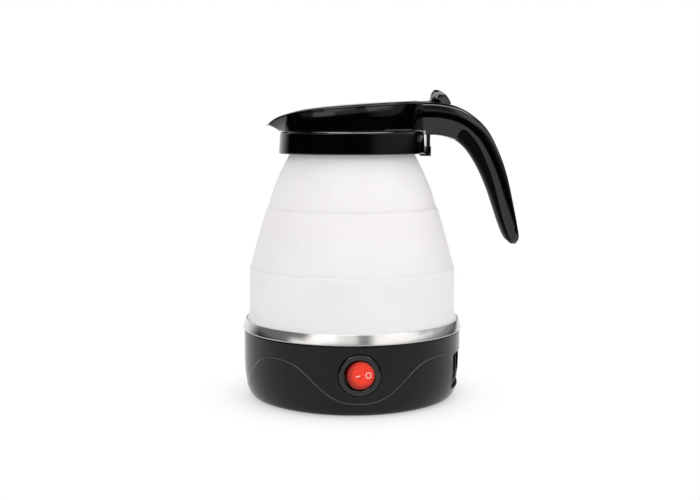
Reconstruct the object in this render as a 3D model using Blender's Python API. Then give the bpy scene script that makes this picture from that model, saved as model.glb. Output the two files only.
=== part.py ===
"""A collapsible travel kettle: a silicone body that folds between a powered base and a top with
spout, lid and handle. Metres, +Z up. The kettle's axis is Z, the table is at height zero, the
spout points to -X, the handle to +X and the switch to -Y. An azimuth is counted from the switch
round towards the handle."""

import math

import bmesh
import bpy
from mathutils import Matrix, Vector

# Fits
GAP = 0.0003
WELD = 0.000001
OVERRUN = 0.0100

# Facets
TURN_SIDES = 40
BASE_SIDES = 48
SMALL_SIDES = 16
HOLE_SIDES = 12
BEND_STEPS = 4
SHARP_ANGLE = math.radians(32)

# Feet and bottom cover
FOOT_PROUD = 0.0006
FOOT_RADIUS = 0.0050
FOOT_SINK = 0.0008
FOOT_EDGE = 0.0078
FOOT_COUNT = 4
COVER_THICKNESS = 0.0026

# Base housing
BASE_RADIUS = 0.0642
BASE_HEIGHT = 0.0405
BASE_WALL = 0.0022
BASE_RIM_ROUND = 0.0006
CORNER_WIDTH = 0.0067
CORNER_HEIGHT = 0.0198
BASE_LIP = 0.0014
LEDGE_THICKNESS = 0.0018
LEDGE_REACH = 0.0058

# Wavy step round the housing: a cosine with a little of its third harmonic
WAVE_COUNT = 4
WAVE_MIDDLE = 0.0194
WAVE_RISE = 0.0120
WAVE_HARMONIC = 0.0008
WAVE_STEP = 0.0003
WAVE_BEVEL = 0.0006

# Long screws that hold cover, housing and pan together
SCREW_AZIMUTHS = tuple(math.radians(angle) for angle in (45, 165, 285))
SCREW_EDGE = 0.0073
SCREW_RADIUS = 0.0015
SCREW_HEAD_RADIUS = 0.0028
SCREW_HEAD_THICKNESS = 0.0011
SCREW_LENGTH = 0.0250
POST_RADIUS = 0.0042
POST_RIB = 0.0025
POST_RIB_HEIGHT = 0.0050
STUD_RADIUS = 0.0031
STUD_LENGTH = 0.0152

# Steel ring
RING_PROUD = 0.0008
RING_HEIGHT = 0.0059
RING_SLOPE = 0.0017
RING_SHEET = 0.0006
RING_LIP = 0.0050

# Heating pan, spreader and element
PAN_SHEET = 0.0008
PAN_DEPTH = 0.0066
PAN_SETBACK = 0.0017
PAN_WALL_SLOPE = 0.0017
PAN_FLANGE = 0.0081
SPREADER_EDGE = 0.0112
SPREADER_THICKNESS = 0.0025
ELEMENT_RADIUS = 0.0032
ELEMENT_EDGE = 0.0100
ELEMENT_BEND_SHARE = 1.2
ELEMENT_OPENING = math.radians(50)
ELEMENT_LEG = 0.0095
ELEMENT_STEPS = 20
ELEMENT_PIN_RADIUS = 0.0012
ELEMENT_PIN_LENGTH = 0.0080

# Thermostat and thermal fuse
THERMOSTAT_RADIUS = 0.0072
THERMOSTAT_CAP_RADIUS = 0.0084
THERMOSTAT_CAP = 0.0032
THERMOSTAT_HEIGHT = 0.0110
THERMOSTAT_EAR_REACH = 0.0140
THERMOSTAT_EAR_WIDTH = 0.0070
THERMOSTAT_TAB_PLACE = 0.0045
FUSE_RADIUS = 0.0020
FUSE_LENGTH = 0.0120
FUSE_PLACE_SHARE = 5 / 14

# Terminal blades
BLADE_THICKNESS = 0.0008
BLADE_WIDTH = 0.0048
BLADE_LENGTH = 0.0066

# Switch
SWITCH_DROP = 0.0161
SWITCH_INSET = 0.0012
BEZEL_RADIUS = 0.0115
BEZEL_THICKNESS = 0.0016
BEZEL_ROUND = 0.0005
BEZEL_RELIEF = 0.0005
BARREL_RADIUS = 0.0097
BARREL_DEPTH = 0.0160
WELL_RADIUS = 0.0085
WELL_DEPTH = 0.0100
ROCKER_RADIUS = 0.0077
ROCKER_THICKNESS = 0.0041
ROCKER_PIVOT_DEPTH = 0.0023
ROCKER_SINK = 0.0006
ROCKER_TILT = math.radians(10)
LAMP_RADIUS = 0.0018
LAMP_LENGTH = 0.0080
SWITCH_TAB_PITCH = 0.0050

# Power inlet
INLET_AZIMUTH = math.radians(75)
INLET_HEIGHT = 0.0182
INLET_INSET = 0.0032
INLET_PLATE = (0.0314, 0.0204)
INLET_FLANGE = (0.0330, 0.0218)
INLET_BODY = (0.0270, 0.0186)
INLET_CAVITY = (0.0242, 0.0162)
INLET_CORNER = 0.0040
INLET_FLANGE_THICKNESS = 0.0012
INLET_DEPTH = 0.0165
INLET_CAVITY_DEPTH = 0.0145
PIN_WIDTH = 0.0040
PIN_THICKNESS = 0.0020
PIN_PITCH = 0.0070
PIN_RAISE = 0.0040
PIN_DROP = 0.0018
PIN_SETBACK = 0.0020
PIN_TAIL = 0.0060

# Internal leads
LEAD_RADIUS = 0.0010
LEAD_STEP = 0.0040

# Silicone body: three zones between the ring and the collar
SILICONE_WALL = 0.0016
SILICONE_HINGE = 0.0009
SILICONE_BEAD_SETBACK = 0.0016
SILICONE_BEAD_INSET = 0.0038
SILICONE_RING_INSET = 0.0011
FLARE_HEIGHT = 0.0082
FLARE_DEPTH = 0.0015
FLARE_DIP = 0.0005
LOWER_HEIGHT = 0.0301
MIDDLE_HEIGHT = 0.0350
UPPER_HEIGHT = 0.0316
FOLD_STEP = 0.0006
FOLD_BAND = 0.0012
MIDDLE_TAPER = 0.0102
MIDDLE_BULGE = 0.0002
UPPER_BULGE = 0.0011
ZONE_STEPS = 4
SILICONE_FLANGE = 0.0020
SILICONE_FLANGE_REACH = 0.0037

# Collar and neck
COLLAR_HEIGHT = 0.0134
COLLAR_WALL = 0.0024
COLLAR_EDGE = 0.0006
COLLAR_DRAFT = 0.0007
COLLAR_WEB = 0.0016
NECK_RADIUS = 0.0351
NECK_STEP = 0.0015
NECK_RING_WALL = 0.0031
NECK_RING_HEIGHT = 0.0069
GASKET_INSET = 0.0003

# Spout housing
SEAM_STEP = 0.0003
SPOUT_LENGTH = 0.0070
SPOUT_TIP_ANGLE = math.radians(4)
HOUSING_WALL = 0.0016
HOUSING_DECK = 0.0015
SKIRT_WALL = 0.0018
NECK_BORE_STEP = 0.0009
BEAK_WALL = 0.0026
BEAK_FLARE = 0.0058

# Lid
LID_OVERHANG = 0.0015
LID_THICKNESS = 0.0016
LID_CROWN = 0.0012
LID_REAR_INSET = 0.0044
LID_SKIRT_INSET = 0.0007
LID_SKIRT_WALL = 0.0013
LID_SKIRT_DEPTH = 0.0045
LID_POUR_ANGLE = math.radians(40)
HEAD_HEIGHT = 0.0172
LID_RISE = 0.0144
LID_RUN_PAST = 0.0011
LID_RING_SHARES = (0.3, 0.62, 0.82, 0.93, 1)
LID_CONTOUR_SHARES = ((0, 0), (0.05, 0.25), (0.105, 0.41), (0.263, 0.667), (0.58, 0.875), (1, 1))

# Lid hinge and thumb lever
HINGE_SETBACK = 0.0045
HINGE_DROP = 0.0063
HINGE_PIN_RADIUS = 0.0010
KNUCKLE_RADIUS = 0.0026
LEVER_WIDTH = 0.0092
LEVER_RISE = 0.0129
LEVER_CREST = 0.0018
LEVER_REACH = 0.0119
LEVER_FALL = 0.0042
LEVER_SHEET = 0.0020
LEVER_SHARES = ((0.36, 0.97), (0.62, 0.78), (0.82, 0.5), (1, 0.07), (0.97, -0.04), (0.86, -0.12))

# Handle
HANDLE_SINK = 0.0030
HANDLE_REACH = 0.0603
HANDLE_DROP = 0.0842
ROOT_WIDTH = 0.0200
HANDLE_WIDTH_SHARES = (1, 1, 1, 0.98, 0.95, 0.92, 0.9, 0.88, 0.84, 0.78, 0.5)
HANDLE_OUTER_SHARES = (
    (0, 0), (0.20, 0.008), (0.37, 0.036), (0.525, 0.096), (0.674, 0.198), (0.793, 0.357),
    (0.875, 0.523), (0.939, 0.719), (0.985, 0.879), (1, 0.957), (0.972, 0.996))
HANDLE_INNER_SHARES = (
    (0, 0.235), (0.19, 0.236), (0.34, 0.262), (0.426, 0.299), (0.509, 0.366), (0.597, 0.47),
    (0.68, 0.601), (0.753, 0.746), (0.819, 0.879), (0.872, 0.960), (0.922, 0.992))
HANDLE_STATIONS = 20
GRIP_START_SHARE = 0.22
GRIP_NOSE_SHARE = 0.07
GRIP_NOSE_SHARES = (0, 0.05, 0.12, 0.35, 0.7, 1)
GRIP_SHARE = 0.42
GRIP_SHARE_AT_TIP = 0.20
GRIP_TAPER_END = 0.75
GRIP_WIDTH_SHARE = 0.90
CHANNEL_WIDTH_SHARE = 0.62
CHANNEL_DEPTH_SHARE = 0.78
CHANNEL_END_SHARE = 0.90
SLOT_CLEARANCE = 0.0006
SLOT_LENGTH = 0.0140
SLOT_DEEP_START = 0.0025
SLOT_FLOOR = 0.0112
HANDLE_SCREW_SPREAD = 0.0076
HANDLE_SCREW_RISE = 0.0046
HANDLE_SCREW_RADIUS = 0.00145
HANDLE_SCREW_HEAD = 0.0026
HANDLE_SCREW_HEAD_THICKNESS = 0.0016
HANDLE_SCREW_LENGTH = 0.0130

# Latch clip
LATCH_SETBACK = 0.0019
LATCH_DROP = 0.0005
LATCH_BARREL = 0.0015
LATCH_WIDTH = 0.0086
LATCH_TAB = 0.0017
LATCH_BLOCK_WIDTH = 0.0030
LATCH_BLOCK_HEIGHT = 0.0045
LATCH_TOE = 0.0012
LATCH_HOOK = 0.0030
LATCH_RECESS = 0.0030

# Radii that follow from the sizes above
RING_RADIUS = BASE_RADIUS + RING_PROUD
PAN_WALL_RADIUS = RING_RADIUS - PAN_SETBACK - PAN_FLANGE
SPREADER_RADIUS = PAN_WALL_RADIUS - SPREADER_EDGE
ELEMENT_CIRCLE = SPREADER_RADIUS - ELEMENT_EDGE
FUSE_ROOM = ELEMENT_CIRCLE - ELEMENT_RADIUS - THERMOSTAT_EAR_REACH
FUSE_PLACE = THERMOSTAT_EAR_REACH + FUSE_ROOM * FUSE_PLACE_SHARE
SWITCH_SEAT = BASE_RADIUS - SWITCH_INSET
INLET_FACE = BASE_RADIUS - INLET_INSET
SILICONE_BEAD_RADIUS = RING_RADIUS - SILICONE_BEAD_SETBACK
FLARE_RADIUS = RING_RADIUS - RING_SLOPE - SILICONE_RING_INSET
LOWER_RADIUS = FLARE_RADIUS - FLARE_DEPTH
MIDDLE_TOP_RADIUS = LOWER_RADIUS - MIDDLE_TAPER
UPPER_TOP_RADIUS = NECK_RADIUS + NECK_STEP
SILICONE_FLANGE_RADIUS = UPPER_TOP_RADIUS + SILICONE_FLANGE_REACH
COLLAR_WALL_RADIUS = SILICONE_FLANGE_RADIUS + GAP
COLLAR_RADIUS = COLLAR_WALL_RADIUS + COLLAR_WALL
HOUSING_RADIUS = COLLAR_RADIUS - COLLAR_DRAFT - SEAM_STEP
NECK_BORE = NECK_RADIUS + NECK_BORE_STEP
SPOUT_REACH = HOUSING_RADIUS + SPOUT_LENGTH
LID_REACH = SPOUT_REACH + LID_OVERHANG
LID_REAR = HOUSING_RADIUS - LID_REAR_INSET
LID_SKIRT_RADIUS = LID_REAR - LID_SKIRT_INSET
LID_RUN = LID_REACH + LID_REAR + LID_RUN_PAST
HINGE_X = HOUSING_RADIUS + HINGE_SETBACK
HANDLE_START = HOUSING_RADIUS - HANDLE_SINK
LATCH_X = COLLAR_RADIUS + LATCH_SETBACK

# Heights that follow from the sizes above
BASE_BOTTOM = FOOT_PROUD
SWITCH_HEIGHT = BASE_HEIGHT - SWITCH_DROP
CORNER_TOP = BASE_BOTTOM + CORNER_HEIGHT
COVER_TOP = BASE_BOTTOM + COVER_THICKNESS
COVER_RADIUS = BASE_RADIUS - CORNER_WIDTH - BASE_LIP - GAP
FOOT_CIRCLE = COVER_RADIUS - FOOT_EDGE
SCREW_CIRCLE = COVER_RADIUS - SCREW_EDGE
LEDGE_BOTTOM = COVER_TOP + GAP
LEDGE_TOP = LEDGE_BOTTOM + LEDGE_THICKNESS
LEDGE_RADIUS = COVER_RADIUS - LEDGE_REACH
RING_BOTTOM = BASE_HEIGHT + GAP
RING_TOP = RING_BOTTOM + RING_HEIGHT
FLANGE_BOTTOM = RING_BOTTOM + RING_SHEET + GAP
FLANGE_TOP = FLANGE_BOTTOM + PAN_SHEET
PAN_FLOOR = FLANGE_TOP - PAN_DEPTH
PAN_UNDERSIDE = PAN_FLOOR - PAN_SHEET
STUD_BOTTOM = PAN_UNDERSIDE - STUD_LENGTH
POST_TOP = STUD_BOTTOM - GAP
SPREADER_TOP = PAN_UNDERSIDE - GAP
SPREADER_BOTTOM = SPREADER_TOP - SPREADER_THICKNESS
HOT_SEAT = SPREADER_BOTTOM - GAP
ELEMENT_HEIGHT = HOT_SEAT - ELEMENT_RADIUS
THERMOSTAT_BOTTOM = HOT_SEAT - THERMOSTAT_HEIGHT
SWITCH_FACE = SWITCH_SEAT + GAP + BEZEL_THICKNESS
ROCKER_PIVOT = SWITCH_FACE - ROCKER_SINK - ROCKER_PIVOT_DEPTH
BARREL_BACK = SWITCH_SEAT + GAP - BARREL_DEPTH
INLET_BACK = INLET_FACE - INLET_DEPTH
BEAD_BOTTOM = FLANGE_TOP + GAP
FOLD_LOW = RING_TOP + LOWER_HEIGHT
FOLD_HIGH = FOLD_LOW + MIDDLE_HEIGHT
COLLAR_BOTTOM = FOLD_HIGH + UPPER_HEIGHT
COLLAR_TOP = COLLAR_BOTTOM + COLLAR_HEIGHT
SILICONE_FLANGE_BOTTOM = COLLAR_BOTTOM + COLLAR_WEB + GAP
SILICONE_TOP = SILICONE_FLANGE_BOTTOM + SILICONE_FLANGE
NECK_RING_BOTTOM = SILICONE_TOP + GAP
NECK_RING_TOP = NECK_RING_BOTTOM + NECK_RING_HEIGHT
HOUSING_BOTTOM = COLLAR_TOP + GAP
LID_TOP = HOUSING_BOTTOM + HEAD_HEIGHT
HINGE_Z = LID_TOP - HINGE_DROP
HANDLE_TOP = LID_TOP - GAP
HANDLE_SCREW_HEIGHT = HOUSING_BOTTOM + HANDLE_SCREW_RISE
LATCH_Z = HOUSING_BOTTOM - LATCH_DROP
DECK_TOP = HOUSING_BOTTOM + HOUSING_DECK
INNER_REACH = SPOUT_REACH - BEAK_WALL
LEVER_HALF = LEVER_WIDTH / 2
SLOT_HALF = LEVER_HALF + SLOT_CLEARANCE
HINGE = Vector((HINGE_X, 0, HINGE_Z))
LATCH = Vector((LATCH_X, 0, LATCH_Z))
SWITCH_PIVOT = Vector((0, -ROCKER_PIVOT, SWITCH_HEIGHT))

# Finish: colour, roughness, metallic
FINISHES = {
    "gloss_black": ((0.012, 0.012, 0.013, 1), 0.12, 0),
    "satin_black": ((0.02, 0.02, 0.021, 1), 0.4, 0),
    "rubber_black": ((0.03, 0.03, 0.03, 1), 0.75, 0),
    "white_silicone": ((0.86, 0.86, 0.85, 1), 0.45, 0),
    "red_lens": ((0.85, 0.06, 0.03, 1), 0.15, 0),
    "steel": ((0.62, 0.61, 0.60, 1), 0.22, 1),
    "aluminium": ((0.72, 0.72, 0.73, 1), 0.4, 1),
    "brass": ((0.75, 0.56, 0.25, 1), 0.3, 1),
    "ceramic": ((0.8, 0.78, 0.72, 1), 0.55, 0),
    "lamp_glass": ((0.95, 0.55, 0.3, 1), 0.1, 0),
    "wire_brown": ((0.16, 0.06, 0.02, 1), 0.5, 0),
    "wire_blue": ((0.03, 0.10, 0.5, 1), 0.5, 0),
    "wire_green": ((0.10, 0.45, 0.08, 1), 0.5, 0),
    "wire_white": ((0.8, 0.8, 0.78, 1), 0.6, 0),
}


def clear_scene():
    for obj in list(bpy.data.objects):
        bpy.data.objects.remove(obj, do_unlink=True)


def finish_material(name, finish):
    colour, roughness, metallic = FINISHES[finish]
    made = bpy.data.materials.new(name)
    made.use_nodes = True
    shader = made.node_tree.nodes["Principled BSDF"]
    shader.inputs["Base Color"].default_value = colour
    shader.inputs["Roughness"].default_value = roughness
    shader.inputs["Metallic"].default_value = metallic
    made.diffuse_color = colour
    return made


def to_mesh(bm, name):
    bmesh.ops.remove_doubles(bm, verts=bm.verts, dist=WELD)
    bmesh.ops.recalc_face_normals(bm, faces=bm.faces)
    mesh = bpy.data.meshes.new(name)
    bm.to_mesh(mesh)
    bm.free()
    mesh.shade_smooth()
    mesh.set_sharp_from_angle(angle=SHARP_ANGLE)
    return mesh


def piece(name, bm, finish, origin=None):
    """A named object from a bmesh, with its origin moved to the given point."""
    if origin is not None:
        bmesh.ops.translate(bm, verts=bm.verts, vec=-origin)
    obj = bpy.data.objects.new(name, to_mesh(bm, name))
    if origin is not None:
        obj.location = origin
    obj.data.materials.append(finish_material(name, finish))
    bpy.context.scene.collection.objects.link(obj)
    return obj


def combine(obj, tool, operation):
    """A Boolean on obj with the shape in the bmesh tool, whose object stays as a hidden guide."""
    guide = bpy.data.objects.new(f"{obj.name}_guide", to_mesh(tool, f"{obj.name}_guide"))
    guide.hide_render = True
    guide.display_type = "WIRE"
    guide.location = obj.location
    guide.data.transform(Matrix.Translation(-obj.location))
    bpy.context.scene.collection.objects.link(guide)
    modifier = obj.modifiers.new(operation.title(), "BOOLEAN")
    modifier.operation = operation
    modifier.solver = "EXACT"
    modifier.object = guide
    weld = obj.modifiers.new("Weld", "WELD")
    weld.merge_threshold = WELD


def cut(obj, tool):
    combine(obj, tool, "DIFFERENCE")


def fuse(obj, tool):
    combine(obj, tool, "UNION")


def merged(*shapes):
    """One bmesh that holds all the given ones."""
    whole = bmesh.new()
    for shape in shapes:
        mesh = bpy.data.meshes.new("merge")
        shape.to_mesh(mesh)
        shape.free()
        whole.from_mesh(mesh)
        bpy.data.meshes.remove(mesh)
    return whole


def placed(bm, matrix):
    bmesh.ops.transform(bm, matrix=matrix, verts=bm.verts)
    return bm


def round_axis(bm, azimuth):
    """The shape, modelled facing the switch side, turned round the kettle to an azimuth."""
    return placed(bm, Matrix.Rotation(azimuth, 4, "Z"))


def at_azimuth(radius, azimuth, height):
    return Vector((radius * math.sin(azimuth), -radius * math.cos(azimuth), height))


def turned(outline, sides=TURN_SIDES):
    """A solid turned round Z from (radius, height) points; one that starts on the axis ends on it."""
    bm = bmesh.new()
    verts = [bm.verts.new((radius, 0, height)) for radius, height in outline]
    edges = [bm.edges.new(pair) for pair in zip(verts, verts[1:])]
    if outline[0][0] > 0:
        edges.append(bm.edges.new((verts[-1], verts[0])))
    bmesh.ops.spin(bm, geom=verts + edges, axis=(0, 0, 1), cent=(0, 0, 0),
                   angle=math.tau, steps=sides, use_merge=True)
    bmesh.ops.remove_doubles(bm, verts=bm.verts, dist=WELD)
    bmesh.ops.recalc_face_normals(bm, faces=bm.faces)
    return bm


def rod(radius, start, end, sides=SMALL_SIDES):
    """A round bar from one point to another."""
    start, end = Vector(start), Vector(end)
    along = end - start
    matrix = Matrix.Translation((start + end) / 2) @ along.to_track_quat("Z", "Y").to_matrix().to_4x4()
    bm = bmesh.new()
    bmesh.ops.create_cone(bm, cap_ends=True, segments=sides, radius1=radius, radius2=radius,
                          depth=along.length, matrix=matrix)
    return bm


def block(low, high):
    """A box between two corners."""
    low, high = Vector(low), Vector(high)
    bm = bmesh.new()
    bmesh.ops.create_cube(bm, size=1, matrix=Matrix.Translation((low + high) / 2)
                          @ Matrix.Diagonal((high - low).to_4d()))
    return bm


def loft(rings, closed=False):
    """A skin through rings of equal count, capped at both ends or closed on itself."""
    bm = bmesh.new()
    rows = [[bm.verts.new(point) for point in ring] for ring in rings]
    pairs = list(zip(rows, rows[1:]))
    if closed:
        pairs.append((rows[-1], rows[0]))
    else:
        bm.faces.new(rows[0])
        bm.faces.new(rows[-1])
    for row, after in pairs:
        for i, vert in enumerate(row):
            j = (i + 1) % len(row)
            bm.faces.new((vert, row[j], after[j], after[i]))
    bmesh.ops.recalc_face_normals(bm, faces=bm.faces)
    return bm


def slab(outline, half_width):
    """An outline of (x, z) points drawn out to both sides along Y."""
    return loft([[Vector((x, y, z)) for x, z in outline] for y in (-half_width, half_width)])


def arc(centre, radius, start, end, steps=BEND_STEPS):
    """Points of a round stretch of an outline; angles count from +X towards +Z."""
    points = []
    for i in range(steps + 1):
        angle = start + (end - start) * i / steps
        points.append((centre[0] + radius * math.cos(angle), centre[1] + radius * math.sin(angle)))
    return points


def rounded_ring(size, corner, depth):
    """A rounded rectangle in the inlet's own frame: width along X, height along Z, depth from the axis."""
    half_x, half_z = size[0] / 2 - corner, size[1] / 2 - corner
    ring = []
    for quarter, (sx, sz) in enumerate(((1, 1), (-1, 1), (-1, -1), (1, -1))):
        start = quarter * math.pi / 2
        for x, z in arc((sx * half_x, sz * half_z), corner, start, start + math.pi / 2, 3):
            ring.append(Vector((x, -depth, INLET_HEIGHT + z)))
    return ring


def curve_at(points, share):
    """Point at a share of the way along a smooth curve through the points."""
    place = min(max(share, 0), 1) * (len(points) - 1)
    i = min(int(place), len(points) - 2)
    f = place - i
    a, b = points[i], points[i + 1]
    before = points[i - 1] if i else a * 2 - b
    after = points[i + 2] if i + 2 < len(points) else b * 2 - a
    return (a * 2 + (b - before) * f + (before * 2 - a * 5 + b * 4 - after) * f ** 2
            + (a * 3 - before - b * 3 + after) * f ** 3) / 2


def height_on(table, x):
    """Smooth height at x through a table of rising (x, height) pairs."""
    slopes = []
    for i in range(len(table)):
        low, high = table[max(i - 1, 0)], table[min(i + 1, len(table) - 1)]
        slopes.append((high[1] - low[1]) / (high[0] - low[0]))
    x = min(max(x, table[0][0]), table[-1][0])
    i = max(k for k in range(len(table) - 1) if table[k][0] <= x)
    (x0, y0), (x1, y1) = table[i], table[i + 1]
    run = x1 - x0
    f = (x - x0) / run
    return (y0 * (1 + 2 * f) * (1 - f) ** 2 + slopes[i] * run * f * (1 - f) ** 2
            + y1 * f ** 2 * (3 - 2 * f) - slopes[i + 1] * run * f ** 2 * (1 - f))


def tube(name, points, radius, finish):
    """A tube along the points, with filled ends."""
    curve = bpy.data.curves.new(name, "CURVE")
    curve.dimensions = "3D"
    curve.bevel_depth = radius
    curve.bevel_resolution = 2
    curve.use_fill_caps = True
    spline = curve.splines.new("POLY")
    spline.points.add(len(points) - 1)
    for target, point in zip(spline.points, points):
        target.co = point.to_4d()
    obj = bpy.data.objects.new(name, curve)
    curve.materials.append(finish_material(name, finish))
    bpy.context.scene.collection.objects.link(obj)
    return obj


def base_outer(height):
    """Outer radius of the base wall, with its rounded lower corner."""
    if height >= CORNER_TOP:
        return BASE_RADIUS
    drop = min((CORNER_TOP - height) / CORNER_HEIGHT, 1)
    return BASE_RADIUS - CORNER_WIDTH * (1 - math.sqrt(1 - drop ** 2))


def wave_height(azimuth):
    phase = WAVE_COUNT * azimuth
    return WAVE_MIDDLE - WAVE_RISE * math.cos(phase) + WAVE_HARMONIC * math.cos(3 * phase)


def housing_section(azimuth):
    """(radius, height) points of the base housing's section at one azimuth."""
    wave = wave_height(azimuth)
    rim = BASE_HEIGHT - BASE_RIM_ROUND
    above, below = wave + WAVE_BEVEL / 2, wave - WAVE_BEVEL / 2
    inner = COVER_RADIUS + GAP
    section = [(BASE_RADIUS - BASE_RIM_ROUND, BASE_HEIGHT), (BASE_RADIUS, rim)]
    for share in (0.35, 0.6, 0.8, 1):
        height = rim + (above - rim) * share
        section.append((base_outer(height), height))
    for share in (0, 0.25, 0.5, 0.7, 0.85, 0.95, 1):
        height = below + (BASE_BOTTOM - below) * share
        section.append((base_outer(height) + WAVE_STEP, height))
    section += [(inner, BASE_BOTTOM), (inner, LEDGE_BOTTOM), (LEDGE_RADIUS, LEDGE_BOTTOM)]
    section.append((LEDGE_RADIUS, LEDGE_TOP))
    for share in (0, 0.35, 0.7, 1):
        height = LEDGE_TOP + (CORNER_TOP - LEDGE_TOP) * share
        section.append((base_outer(height) - BASE_WALL, height))
    section.append((BASE_RADIUS - BASE_WALL, BASE_HEIGHT))
    return section


def base_housing():
    sections = []
    for i in range(BASE_SIDES):
        azimuth = math.tau * i / BASE_SIDES
        sections.append([at_azimuth(r, azimuth, z) for r, z in housing_section(azimuth)])
    housing = piece("base_housing", loft(sections, closed=True), "gloss_black")
    for azimuth in SCREW_AZIMUTHS:
        post = rod(POST_RADIUS, (0, -SCREW_CIRCLE, LEDGE_BOTTOM), (0, -SCREW_CIRCLE, POST_TOP))
        fuse(housing, round_axis(post, azimuth))
        rib_end = base_outer(LEDGE_TOP) - BASE_WALL / 4
        rib = block((-POST_RIB / 2, -rib_end, LEDGE_BOTTOM + LEDGE_THICKNESS / 2),
                    (POST_RIB / 2, -SCREW_CIRCLE, LEDGE_BOTTOM + POST_RIB_HEIGHT))
        fuse(housing, round_axis(rib, azimuth))
    holes = []
    for azimuth in SCREW_AZIMUTHS:
        holes.append(round_axis(rod(SCREW_RADIUS + GAP, (0, -SCREW_CIRCLE, 0),
                                    (0, -SCREW_CIRCLE, POST_TOP + OVERRUN), HOLE_SIDES), azimuth))
    cut(housing, merged(*holes))
    seat = rod(BEZEL_RADIUS + BEZEL_RELIEF, (0, -SWITCH_SEAT, SWITCH_HEIGHT),
               (0, -SWITCH_SEAT - OVERRUN, SWITCH_HEIGHT), TURN_SIDES)
    cut(housing, seat)
    cut(housing, rod(BARREL_RADIUS + GAP, (0, -BASE_RADIUS + OVERRUN, SWITCH_HEIGHT),
                     (0, -BASE_RADIUS - OVERRUN, SWITCH_HEIGHT), TURN_SIDES))
    opening = tuple(size + 2 * GAP for size in INLET_PLATE)
    window = loft([rounded_ring(opening, INLET_CORNER, depth)
                   for depth in (BASE_RADIUS - OVERRUN, BASE_RADIUS + OVERRUN)])
    cut(housing, round_axis(window, INLET_AZIMUTH))


def base_cover():
    cover = piece("base_cover", turned([(0, BASE_BOTTOM), (COVER_RADIUS, BASE_BOTTOM),
                                        (COVER_RADIUS, COVER_TOP), (0, COVER_TOP)]), "satin_black")
    recess = SCREW_HEAD_THICKNESS + GAP
    tools = []
    for azimuth in SCREW_AZIMUTHS:
        tool = turned([(0, -OVERRUN), (SCREW_HEAD_RADIUS + GAP, -OVERRUN),
                       (SCREW_HEAD_RADIUS + GAP, BASE_BOTTOM + recess),
                       (SCREW_RADIUS + GAP, BASE_BOTTOM + recess),
                       (SCREW_RADIUS + GAP, COVER_TOP + OVERRUN), (0, COVER_TOP + OVERRUN)], HOLE_SIDES)
        tools.append(placed(tool, Matrix.Translation(at_azimuth(SCREW_CIRCLE, azimuth, 0))))
    for i in range(FOOT_COUNT):
        place = at_azimuth(FOOT_CIRCLE, math.tau * i / FOOT_COUNT, 0)
        tools.append(rod(FOOT_RADIUS + GAP, place - Vector((0, 0, OVERRUN)),
                         place + Vector((0, 0, BASE_BOTTOM + FOOT_SINK)), TURN_SIDES // 2))
    cut(cover, merged(*tools))


def feet():
    for i in range(FOOT_COUNT):
        place = at_azimuth(FOOT_CIRCLE, math.tau * i / FOOT_COUNT, 0)
        top = Vector((0, 0, BASE_BOTTOM + FOOT_SINK - GAP))
        piece(f"foot_{i + 1}", rod(FOOT_RADIUS, place, place + top, TURN_SIDES // 2), "rubber_black")


def long_screws():
    head = BASE_BOTTOM + SCREW_HEAD_THICKNESS
    for i, azimuth in enumerate(SCREW_AZIMUTHS):
        screw = turned([(0, BASE_BOTTOM), (SCREW_HEAD_RADIUS, BASE_BOTTOM), (SCREW_HEAD_RADIUS, head),
                        (SCREW_RADIUS, head), (SCREW_RADIUS, BASE_BOTTOM + SCREW_LENGTH),
                        (0, BASE_BOTTOM + SCREW_LENGTH)], HOLE_SIDES)
        place = Matrix.Translation(at_azimuth(SCREW_CIRCLE, azimuth, 0))
        piece(f"long_screw_{i + 1}", placed(screw, place), "steel")


def clamp_ring():
    """Sloping steel band with a rolled lower edge and a lip under the pan's flange."""
    lip = RING_RADIUS - RING_LIP
    top = RING_RADIUS - RING_SLOPE
    roll = RING_SHEET / 2
    outline = [(lip, RING_BOTTOM), (RING_RADIUS - roll, RING_BOTTOM), (RING_RADIUS, RING_BOTTOM + roll),
               (RING_RADIUS - roll, RING_BOTTOM + RING_SHEET * 1.5), (top, RING_TOP - roll),
               (top - roll, RING_TOP), (top - RING_SHEET, RING_TOP - roll),
               (RING_RADIUS - roll - RING_SHEET, RING_BOTTOM + RING_SHEET * 2),
               (RING_RADIUS - roll - RING_SHEET * 2, RING_BOTTOM + RING_SHEET),
               (lip, RING_BOTTOM + RING_SHEET)]
    piece("clamp_ring", turned(outline, BASE_SIDES), "steel")


def heating_pan():
    foot = PAN_WALL_RADIUS - PAN_WALL_SLOPE
    flange = PAN_WALL_RADIUS + PAN_FLANGE
    bend = PAN_SHEET
    outline = [(0, PAN_FLOOR), (foot - bend, PAN_FLOOR), (foot, PAN_FLOOR + bend),
               (PAN_WALL_RADIUS, FLANGE_TOP), (flange, FLANGE_TOP), (flange, FLANGE_BOTTOM),
               (PAN_WALL_RADIUS + PAN_SHEET, FLANGE_BOTTOM), (foot + PAN_SHEET, PAN_FLOOR + bend / 2),
               (foot - bend / 2, PAN_UNDERSIDE), (0, PAN_UNDERSIDE)]
    pan = piece("heating_pan", turned(outline), "steel")
    studs, holes = [], []
    for azimuth in SCREW_AZIMUTHS:
        low = at_azimuth(SCREW_CIRCLE, azimuth, STUD_BOTTOM)
        high = at_azimuth(SCREW_CIRCLE, azimuth, PAN_UNDERSIDE + PAN_SHEET / 2)
        studs.append(rod(STUD_RADIUS, low, high, HOLE_SIDES))
        tip = BASE_BOTTOM + SCREW_LENGTH + GAP
        holes.append(rod(SCREW_RADIUS + GAP, low - Vector((0, 0, OVERRUN)),
                         at_azimuth(SCREW_CIRCLE, azimuth, tip), HOLE_SIDES))
    fuse(pan, merged(*studs))
    cut(pan, merged(*holes))


def heat_spreader():
    piece("heat_spreader", turned([(0, SPREADER_BOTTOM), (SPREADER_RADIUS, SPREADER_BOTTOM),
                                   (SPREADER_RADIUS, SPREADER_TOP), (0, SPREADER_TOP)]), "aluminium")


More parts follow.
